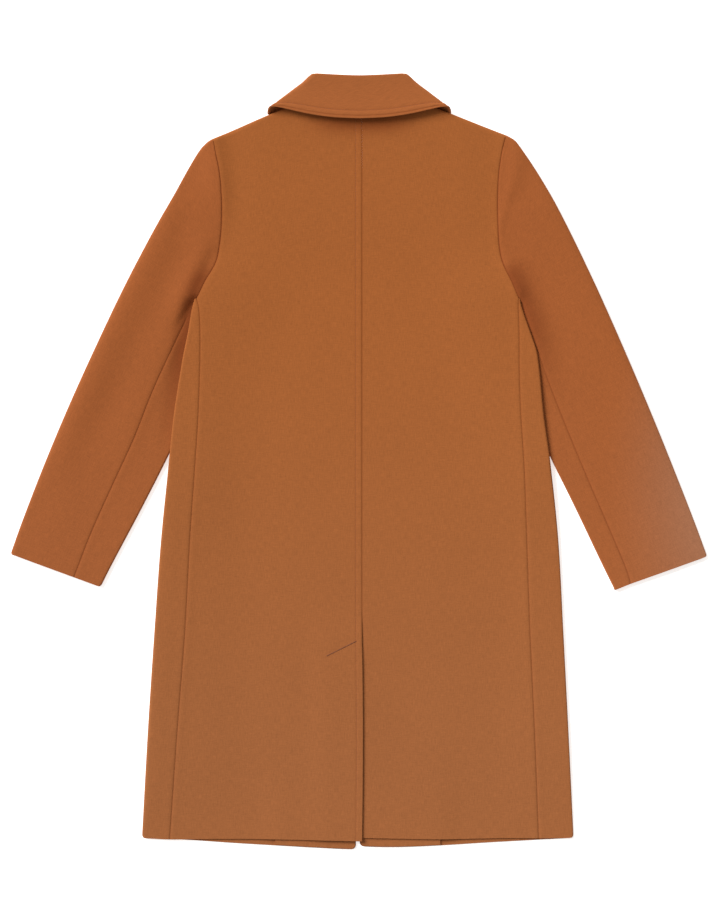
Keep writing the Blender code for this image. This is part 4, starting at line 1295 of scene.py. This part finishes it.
def fall_relief(level):
    """The groove of the topstitching and the rolled edge beyond it, by the distance to the edge."""
    to_edge = (1.0 - level) * FALL_HEIGHT
    return (STITCH_DIP[0] * bump(to_edge, COLLAR_STITCH_IN, STITCH_DIP[1])
            + COLLAR_SWELL[0] * bump(to_edge, COLLAR_SWELL[1], COLLAR_SWELL[2])
            + COLLAR_SEAM_DIP[0] * bump(to_edge, COLLAR_SEAM_IN, COLLAR_SEAM_DIP[1])
            - COLLAR_ROLL_DROP * fade((0.0, COLLAR_SEAM_IN), to_edge))


def fall_point(station, level, reach):
    side, q, angle = station
    on_top = max(0.0, math.sin(math.radians(angle)))
    outside = reach if level <= 0.0 else reach + fall_relief(level)
    point = collar_point(side, q, angle, level, outside)
    if level > 0.0:
        point.z += COLLAR_EDGE_LIFT * level ** 2 * on_top
    return point


def make_fall(material):
    """The fall: from its seam with the stand, over the roll, and down to the outer edge."""
    def place(station, row):
        level, reach = row
        to_edge = (1.0 - level) * FALL_HEIGHT
        # painted shade in the grooves of the collar's edge seam and of its topstitching
        dark = max(COLLAR_SEAM_SHADE * groove(to_edge - COLLAR_SEAM_IN),
                   STITCH_SHADE * groove(to_edge - COLLAR_STITCH_IN))
        return fall_point(station, level, reach), 0.0, dark
    return lay_cloth("collar_fall_cloth", collar_stations(*FALL_STEPS), fall_profile(), place, material,
                     turned=True)


# ---------------------------------------------------------------- stitching

def make_stitches(name, route, length, pitch, thread, material):
    """A row of stitches along a route of points in metres, each a short rounded thread."""
    route = [Vector(point) for point in route]
    marks = [0.0]
    for a, b in zip(route, route[1:]):
        marks.append(marks[-1] + (b - a).length)

    def at(distance):
        n = min(len(route) - 2, max(0, bisect_right(marks, distance) - 1))
        t = (distance - marks[n]) / (marks[n + 1] - marks[n])
        return route[n].lerp(route[n + 1], t)

    mesh = bmesh.new()
    count = round((marks[-1] - length) / pitch) + 1
    pitch = (marks[-1] - length) / (count - 1)
    for n in range(count):
        a, b = at(n * pitch), at(n * pitch + length)
        along = (b - a).normalized()
        turn = along.to_track_quat("X", "Z").to_matrix().to_4x4()
        size = Matrix.Diagonal((length / 2.0, thread / 2.0, thread / 2.0, 1.0))
        bmesh.ops.create_uvsphere(mesh, u_segments=8, v_segments=6, radius=1.0,
                                  matrix=Matrix.Translation((a + b) / 2.0) @ turn @ size)
    return new_object(name, mesh, material)


def centre_back_route():
    """Along the left back, beside the centre seam and the vent's edge, from the collar to the hem."""
    place = back_place("left")
    rows = [row for row in body_rows(FINE) if row[0] == "below" or row[1] > STITCH_FROM]
    laid = [place((0.0, STITCH_IN), row) for row in rows[:-1]]
    return settle([spot[0] for spot in laid], [spot[1] for spot in laid])


def collar_route():
    """Along the fall, inside its outer edge, from one side fold to the other."""
    level = 1.0 - COLLAR_STITCH_IN / FALL_HEIGHT
    outer = FLAT / 2.0 + FALL_REACH
    stops = [(side, q, angle) for side, q, angle in collar_stations(*FALL_STEPS)
             if q < 1.0 or angle > COLLAR_STITCH_TURN]
    return settle([fall_point(stop, level, outer) for stop in stops], [0.0] * len(stops))


def stay_stitch_route():
    """The slanted row that holds the underlay behind the left back."""
    start, end = (Vector(point) for point in STAY_STITCH)
    spots = [start.lerp(end, n / STAY_STITCH_STEPS) for n in range(STAY_STITCH_STEPS + 1)]
    points = [(p.x, p.y, back_height("left", p, CENTRE_BACK - p.x)) for p in spots]
    return settle(points, [1.0] * len(points))


# ---------------------------------------------------------------- materials, in metres

WOOL_COLOURS = {
    "body": ("body", "body_hem"),
    "sleeve": ("sleeve", "sleeve_cuff"),
    "collar": ("collar", "collar"),
    "facing": ("body", "body_hem"),
}
SHEEN_TINT = "#E8B48A"
DYE_TURNS = (0.30, -0.50)       # heights on the coat between which the dye turns from upper to lower
FADED_AT = (0.56, -0.0165, 0.008)       # the middle of the faded cuff, with FADED_DRAWN applied
FADED_DRAWN = (1.0, 0.55, 1.0)          # the fading reaches further along the sleeve than across it
FADED_REACH = (0.22, 0.02)              # distances from the middle between which it comes in
FADED_MOST = 1.1                        # more than 1, so that it is full a little before the second
CLOUDS = 7.0                    # slow drifts of tone, to a metre
THREAD_STREAK = 9.0             # a streak is this many times as long as it is wide
# How far each pattern shifts the tone.
TONES = {"clouds": 0.05, "mottle": 0.07, "fibres": 0.26, "warp": 0.34, "weft": 0.30}
# painted shade: the wool's colour is multiplied by this where the painted shade is darkest
PAINTED_SHADE_TINT = (0.55, 0.36, 0.27)
FUZZ = 0.8                      # the nap's relief, beside that of the threads
NAP_STRENGTH = 0.35
NAP_DEPTH = 0.0004
TWIST_BANDS = 900.0             # how close the bands of the thread's twist are
TWIST_SHADE = 0.72              # and how dark, beside its colour
TWIST_DEPTH = 0.0001
BOARD_GRAIN = 0.0025            # the grain of the studio board's paper
BOARD_DEPTH = 0.0002


def linear(code):
    """An sRGB hex colour as the linear RGBA that shaders take."""
    values = [int(code[n:n + 2], 16) / 255.0 for n in (1, 3, 5)]
    return [v / 12.92 if v <= 0.04045 else ((v + 0.055) / 1.055) ** 2.4 for v in values] + [1.0]


def add_node(tree, kind, settings=None, **links):
    """Adds a node. settings are its properties. Each link goes into the input of that name, with _ for a
    space, or of that number, as in _0, and is a socket of another node or a plain value."""
    node = tree.nodes.new("ShaderNode" + kind)
    for name, value in (settings or {}).items():
        setattr(node, name, value)
    for name, value in links.items():
        socket = node.inputs[int(name[1:])] if name[1:].isdigit() else node.inputs[name.replace("_", " ")]
        if isinstance(value, bpy.types.NodeSocket):
            tree.links.new(value, socket)
        else:
            socket.default_value = value
    return node


def new_material(name, base, roughness):
    material = bpy.data.materials.new(name)
    material.use_nodes = True
    material.diffuse_color = base
    shader = material.node_tree.nodes["Principled BSDF"]
    shader.inputs["Base Color"].default_value = base
    shader.inputs["Roughness"].default_value = roughness
    shader.inputs["Metallic"].default_value = 0.0
    return material, material.node_tree, shader


def wool(name, upper, lower):
    """Brushed wool coating, woven and lightly fulled: matt, with a soft nap, faint threads both ways and
    a slow drift in tone. The dye turns a little cooler towards the hem and is faded at the right cuff. Its
    colour is painted darker and redder where the seams' grooves and the deepest folds lie in shade.

    The real threads lie about 0.7 mm apart and the nap is finer still. Both are drawn coarser, as the
    sizes say, because they would not show at the size of the picture."""
    colours = bpy.context.scene.overcoat_colours
    sizes = bpy.context.scene.overcoat_sizes
    material, tree, shader = new_material(name, upper, 0.9)
    shader.inputs["Diffuse Roughness"].default_value = 0.6
    shader.inputs["Specular IOR Level"].default_value = 0.15
    shader.inputs["IOR"].default_value = 1.5
    shader.inputs["Sheen Weight"].default_value = 0.08
    shader.inputs["Sheen Roughness"].default_value = 0.5
    shader.inputs["Sheen Tint"].default_value = linear(SHEEN_TINT)
    where = add_node(tree, "TexCoord").outputs["Object"]
    grain = add_node(tree, "UVMap", {"uv_map": "grain"}).outputs["UV"]
    parts = add_node(tree, "SeparateXYZ", Vector=where)

    # Dye: from the shoulders to the hem, and the faded cuff.
    down = add_node(tree, "MapRange", {"interpolation_type": "SMOOTHSTEP"}, Value=parts.outputs["Y"],
                    From_Min=DYE_TURNS[0], From_Max=DYE_TURNS[1])
    dye = add_node(tree, "Mix", {"data_type": "RGBA"}, _0=down.outputs["Result"], _6=upper, _7=lower)
    drawn_out = add_node(tree, "VectorMath", {"operation": "MULTIPLY"}, _0=where, _1=FADED_DRAWN)
    cuff = add_node(tree, "VectorMath", {"operation": "DISTANCE"}, _0=drawn_out.outputs["Vector"],
                    _1=FADED_AT)
    worn = add_node(tree, "MapRange", {"interpolation_type": "SMOOTHSTEP"}, Value=cuff.outputs["Value"],
                    From_Min=FADED_REACH[0], From_Max=FADED_REACH[1], To_Max=FADED_MOST)
    faded = add_node(tree, "Mix", {"data_type": "RGBA"}, _0=worn.outputs["Result"],
                     _6=dye.outputs[2], _7=colours.faded)

    # Tone: slow clouds, then mottling, then single fibres.
    patterns = {}
    specks = (
        ("clouds", CLOUDS, 2.0, 0.5),
        ("mottle", 1.0 / sizes.mottle, 3.0, 0.6),
        ("fibres", 1.0 / sizes.fibre, 2.0, 0.7),
    )
    for pattern, scale, detail, rough in specks:
        patterns[pattern] = add_node(tree, "TexNoise", Vector=where, Scale=scale, Detail=detail,
                                     Roughness=rough).outputs["Fac"]

    # Threads both ways, as irregular streaks, so that they show at this size without a moire.
    spacing, streak = sizes.thread_spacing, sizes.thread_spacing * THREAD_STREAK
    for pattern, across, along in (("warp", spacing, streak), ("weft", streak, spacing)):
        stretched = add_node(tree, "Mapping", Vector=grain, Scale=(1.0 / across, 1.0 / along, 1.0))
        patterns[pattern] = add_node(tree, "TexNoise", Vector=stretched.outputs["Vector"], Scale=1.0,
                                     Detail=2.0, Roughness=0.5).outputs["Fac"]

    level = 1.0
    for pattern, weight in TONES.items():
        centred = add_node(tree, "Math", {"operation": "SUBTRACT"}, _0=patterns[pattern], _1=0.5)
        part = add_node(tree, "Math", {"operation": "MULTIPLY"}, _0=centred.outputs[0], _1=weight)
        level = add_node(tree, "Math", _0=level, _1=part.outputs[0]).outputs[0]
    shade = add_node(tree, "VectorMath", {"operation": "SCALE"}, _0=faded.outputs[2], Scale=level)

    # Painted shade: the colour is darkened and reddened by the vertex values of painted shade, in the seams'
    # grooves and the deepest folds.
    painted_shade_share = add_node(tree, "Attribute", {"attribute_name": "groove"}).outputs["Fac"]
    painted_dark = add_node(tree, "VectorMath", {"operation": "MULTIPLY"}, _0=shade.outputs["Vector"],
                    _1=PAINTED_SHADE_TINT)
    with_painted_shade = add_node(tree, "Mix", {"data_type": "RGBA"}, _0=painted_shade_share, _6=shade.outputs["Vector"],
                      _7=painted_dark.outputs["Vector"])
    tree.links.new(with_painted_shade.outputs[2], shader.inputs["Base Color"])

    # Nap: the threads' relief under a fine fuzz.
    threads = add_node(tree, "Math", _0=patterns["warp"], _1=patterns["weft"])
    fuzz = add_node(tree, "Math", {"operation": "MULTIPLY"}, _0=patterns["fibres"], _1=FUZZ)
    relief = add_node(tree, "Math", _0=threads.outputs[0], _1=fuzz.outputs[0])
    bumps = add_node(tree, "Bump", Height=relief.outputs[0], Strength=NAP_STRENGTH, Distance=NAP_DEPTH)
    tree.links.new(bumps.outputs["Normal"], shader.inputs["Normal"])
    return material


def thread_material(name, colour):
    """Spun polyester sewing thread, twisted: darker than the cloth, with a faint shine along its twist."""
    material, tree, shader = new_material(name, colour, 0.55)
    where = add_node(tree, "TexCoord").outputs["Object"]
    twist = add_node(tree, "TexWave", {"bands_direction": "DIAGONAL"}, Vector=where, Scale=TWIST_BANDS,
                     Distortion=0.5)
    tint = add_node(tree, "Mix", {"data_type": "RGBA"}, _0=twist.outputs["Fac"], _6=colour,
                    _7=[v * TWIST_SHADE for v in colour[:3]] + [1.0])
    tree.links.new(tint.outputs[2], shader.inputs["Base Color"])
    bumps = add_node(tree, "Bump", Height=twist.outputs["Fac"], Strength=0.5, Distance=TWIST_DEPTH)
    tree.links.new(bumps.outputs["Normal"], shader.inputs["Normal"])
    return material


def floor_material(colour, glow):
    """Matt white studio board, lit from behind as well, so that shadows fade on it."""
    material, tree, shader = new_material("studio_board_matt", colour, 0.85)
    shader.inputs["Emission Color"].default_value = colour
    shader.inputs["Emission Strength"].default_value = glow
    where = add_node(tree, "TexCoord").outputs["Object"]
    grain = add_node(tree, "TexNoise", Vector=where, Scale=1.0 / BOARD_GRAIN, Detail=1.0)
    bumps = add_node(tree, "Bump", Height=grain.outputs["Fac"], Strength=0.03, Distance=BOARD_DEPTH)
    tree.links.new(bumps.outputs["Normal"], shader.inputs["Normal"])
    return material


def kept(name, make, *details):
    """A material by name, made once and then shared."""
    return bpy.data.materials.get(name) or make(name, *details)


def wool_of(part):
    """The brushed wool of a part of the coat, between its upper and its lower colour."""
    colours = bpy.context.scene.overcoat_colours
    upper, lower = (list(getattr(colours, tone)) for tone in WOOL_COLOURS[part])
    return kept("wool_coating_brushed_" + part, wool, upper, lower)


# ---------------------------------------------------------------- properties, operators and panel

def length_property(name, description, default, least, most):
    return FloatProperty(name=name, description=description, default=default, min=least, max=most,
                         subtype="DISTANCE", unit="LENGTH")


def colour_property(name, description, code):
    return FloatVectorProperty(name=name, description=description, default=linear(code), size=4,
                               min=0.0, max=1.0, subtype="COLOR")


class OvercoatSizes(PropertyGroup):
    wall: length_property("Cloth", "Thickness of the cloth", WALL * MM, 0.0005, 0.005)
    edge_round: length_property("Edge rounding", "How softly the cloth's edges are rounded",
                                0.0006, 0.0001, 0.001)
    thread_spacing: length_property("Thread spacing", "Spacing of the cloth's threads", 0.0012, 0.0003, 0.005)
    fibre: length_property("Fibre", "Size of the nap's specks", 0.0016, 0.0002, 0.005)
    mottle: length_property("Mottling", "Size of the dye's mottling", 0.012, 0.002, 0.1)
    stitch: length_property("Stitch", "Length of a topstitch", 0.0034, 0.001, 0.01)
    stitch_gap: length_property("Stitch gap", "Distance between two stitches", 0.0009, 0.0002, 0.005)
    thread: length_property("Thread", "Thickness of the sewing thread", 0.0005, 0.0002, 0.002)


class OvercoatColours(PropertyGroup):
    body: colour_property("Body", "Wool at the shoulders", "#A8612E")
    body_hem: colour_property("Hem", "Wool towards the hem", "#A26338")
    sleeve: colour_property("Sleeve", "Wool of the sleeves at the shoulder", "#A55C2D")
    sleeve_cuff: colour_property("Cuff", "Wool of the sleeves at the cuff", "#A66035")
    collar: colour_property("Collar", "Wool of the collar", "#A76031")
    faded: colour_property("Faded", "Wool where it has faded", "#A57254")
    thread: colour_property("Thread", "Sewing thread", "#96532A")
    stay_thread: colour_property("Stay thread", "Heavier thread of the row that holds the vent", "#7A3F1C")
    board: colour_property("Board", "Studio board", "#F7F6F4")


class OvercoatStudio(PropertyGroup):
    camera_height: length_property("Camera height", "Height of the camera over the coat", 3.6, 1.0, 20.0)
    frame_height: length_property("Frame height", "Length of the floor that the picture shows",
                                  1.3036, 0.5, 10.0)
    key_strength: FloatProperty(name="Key light", default=3.7, min=0.0, max=20.0,
                                description="Strength of the broad light from the upper left")
    key_spread: FloatProperty(name="Key spread", description="Angle over which the key light comes in",
                              default=math.radians(32.0), min=0.0, max=math.pi, subtype="ANGLE",
                              unit="ROTATION")
    key_elevation: FloatProperty(name="Key elevation", description="Height of the key light over the board",
                                 default=math.radians(37.0), min=0.1, max=math.pi / 2.0, subtype="ANGLE",
                                 unit="ROTATION")
    sky: FloatProperty(name="Room light", description="Strength of the light from all round",
                       default=0.43, min=0.0, max=10.0)
    board_glow: FloatProperty(name="Board glow", description="Strength of the light behind the board",
                              default=0.62, min=0.0, max=10.0)


class OVERCOAT_OT_backs(Operator):
    """Lay the two backs with the centre seam, the vent and its underlay"""
    bl_idname = "overcoat.backs"
    bl_label = "Backs"

    def execute(self, context):
        for side in SIDES:
            made = make_back(side, wool_of("body"))
            finish_piece(made[0], "back_" + side, "body_wool")
            declare_sheet(made)
        return {"FINISHED"}


class OVERCOAT_OT_side_panels(Operator):
    """Lay the side panels round the folded edges of the body"""
    bl_idname = "overcoat.side_panels"
    bl_label = "Side panels"

    def execute(self, context):
        for side in SIDES:
            made = make_side_panel(side, wool_of("body"))
            finish_piece(made[0], "side_" + side, "body_wool")
            declare_sheet(made)
        return {"FINISHED"}


class OVERCOAT_OT_fronts(Operator):
    """Lay the fronts on the floor, with their facings on the inside"""
    bl_idname = "overcoat.fronts"
    bl_label = "Fronts and facings"

    def execute(self, context):
        for side in SIDES:
            made = make_front(side, wool_of("body"))
            finish_piece(made[0], "front_" + side, "body_wool")
            declare_sheet(made)
            made = make_facing(side, wool_of("facing"))
            finish_piece(made[0], "facing_" + side, "facing_wool")
            declare_sheet(made)
        return {"FINISHED"}


class OVERCOAT_OT_sleeves(Operator):
    """Lay the sleeves, each of a top and an under sleeve"""
    bl_idname = "overcoat.sleeves"
    bl_label = "Sleeves"

    def execute(self, context):
        for side in SIDES:
            for part, make in (("top", make_top_sleeve), ("under", make_under_sleeve)):
                made = make(side, wool_of("sleeve"))
                finish_piece(made[0], "sleeve_%s_%s" % (side, part), "sleeve_wool")
                declare_sheet(made)
        return {"FINISHED"}


class OVERCOAT_OT_collar(Operator):
    """Make the collar: its stand and the fall that turns down over it"""
    bl_idname = "overcoat.collar"
    bl_label = "Collar"

    def execute(self, context):
        for part, make in (("stand", make_stand), ("fall", make_fall)):
            made = make(wool_of("collar"))
            finish_piece(made[0], "collar_" + part, "collar_wool")
            declare_sheet(made)
        return {"FINISHED"}


class OVERCOAT_OT_stitching(Operator):
    """Sew the topstitching beside the centre seam and on the collar, and the row that holds the vent"""
    bl_idname = "overcoat.stitching"
    bl_label = "Stitching"

    def execute(self, context):
        sizes = context.scene.overcoat_sizes
        colours = context.scene.overcoat_colours
        thread = kept("polyester_thread_spun", thread_material, list(colours.thread))
        heavy = kept("polyester_thread_buttonhole", thread_material, list(colours.stay_thread))
        apart = 1.0 + sizes.stitch_gap / sizes.stitch
        lapped = 1.0 - STAY_STITCH_LAP
        rows = (
            ("topstitch_centre_back", centre_back_route(), 1.0, apart, thread, "body_wool"),
            ("topstitch_collar", collar_route(), 1.0, apart, thread, "collar_wool"),
            ("stay_stitch_vent", stay_stitch_route(), STAY_STITCH_SIZE, lapped, heavy, "body_wool"),
        )
        for name, route, size, spacing, material, slot in rows:
            length = sizes.stitch * size
            piece = make_stitches(name, route, length, length * spacing, sizes.thread * size, material)
            finish_piece(piece, None, slot)
        return {"FINISHED"}


class OVERCOAT_OT_stage(Operator):
    """Set up the floor, the soft light and the camera that looks straight down"""
    bl_idname = "overcoat.stage"
    bl_label = "Stage"

    def execute(self, context):
        studio = context.scene.overcoat_studio
        mesh = bmesh.new()
        bmesh.ops.create_grid(mesh, x_segments=1, y_segments=1, size=BOARD_HALF)
        board = floor_material(list(context.scene.overcoat_colours.board), studio.board_glow)
        floor = new_object("studio_floor", mesh, board)
        key = bpy.data.lights.new("key", "SUN")
        key.energy = studio.key_strength
        key.angle = studio.key_spread
        key_object = bpy.data.objects.new("key", key)
        level = Vector(KEY_FROM).normalized() * math.cos(studio.key_elevation)
        toward = Vector((level.x, level.y, math.sin(studio.key_elevation)))
        key_object.location = toward * studio.camera_height
        key_object.rotation_euler = (-toward).to_track_quat("-Z", "Y").to_euler()
        world = bpy.data.worlds.new("studio")
        world.use_nodes = True
        sky = world.node_tree.nodes["Background"]
        sky.inputs["Color"].default_value = (1.0, 1.0, 1.0, 1.0)
        sky.inputs["Strength"].default_value = studio.sky
        context.scene.world = world
        camera = bpy.data.cameras.new("camera")
        camera.sensor_width = FILM_WIDTH
        camera.lens = camera.sensor_width * studio.camera_height / studio.frame_height
        camera_object = bpy.data.objects.new("camera", camera)
        camera_object.location = (CAMERA_OVER[0] * MM, CAMERA_OVER[1] * MM, studio.camera_height + FLAT * MM)
        for thing in (key_object, camera_object):
            context.scene.collection.objects.link(thing)
        context.scene.camera = camera_object
        context.scene.view_settings.view_transform = "Standard"
        return {"FINISHED"}


class OVERCOAT_PT_panel(Panel):
    """The overcoat's sizes, colours and pieces"""
    bl_idname = "OVERCOAT_PT_panel"
    bl_label = "Overcoat"
    bl_space_type = "VIEW_3D"
    bl_region_type = "UI"
    bl_category = "Overcoat"

    def draw(self, context):
        scene = context.scene
        for title, group in (("Sizes", scene.overcoat_sizes), ("Colours", scene.overcoat_colours),
                             ("Studio", scene.overcoat_studio)):
            box = self.layout.box()
            box.label(text=title)
            for name in group.__annotations__:
                box.prop(group, name)
        for operator in OPERATORS:
            self.layout.operator(operator.bl_idname)


GROUPS = {
    "overcoat_sizes": OvercoatSizes,
    "overcoat_colours": OvercoatColours,
    "overcoat_studio": OvercoatStudio,
}
OPERATORS = (
    OVERCOAT_OT_stage,
    OVERCOAT_OT_backs,
    OVERCOAT_OT_side_panels,
    OVERCOAT_OT_fronts,
    OVERCOAT_OT_sleeves,
    OVERCOAT_OT_collar,
    OVERCOAT_OT_stitching,
)


def register():
    for made in (*GROUPS.values(), *OPERATORS, OVERCOAT_PT_panel):
        bpy.utils.register_class(made)
    for name, group in GROUPS.items():
        setattr(bpy.types.Scene, name, PointerProperty(type=group))


def unregister():
    for name in GROUPS:
        delattr(bpy.types.Scene, name)
    for made in reversed((*GROUPS.values(), *OPERATORS, OVERCOAT_PT_panel)):
        bpy.utils.unregister_class(made)


def main():
    for thing in [o for o in bpy.data.objects if o.name in ("Cube", "Light", "Camera")]:
        bpy.data.objects.remove(thing, do_unlink=True)
    register()
    for operator in OPERATORS:
        group, name = operator.bl_idname.split(".")
        getattr(getattr(bpy.ops, group), name)()


if __name__ == "__main__":
    main()
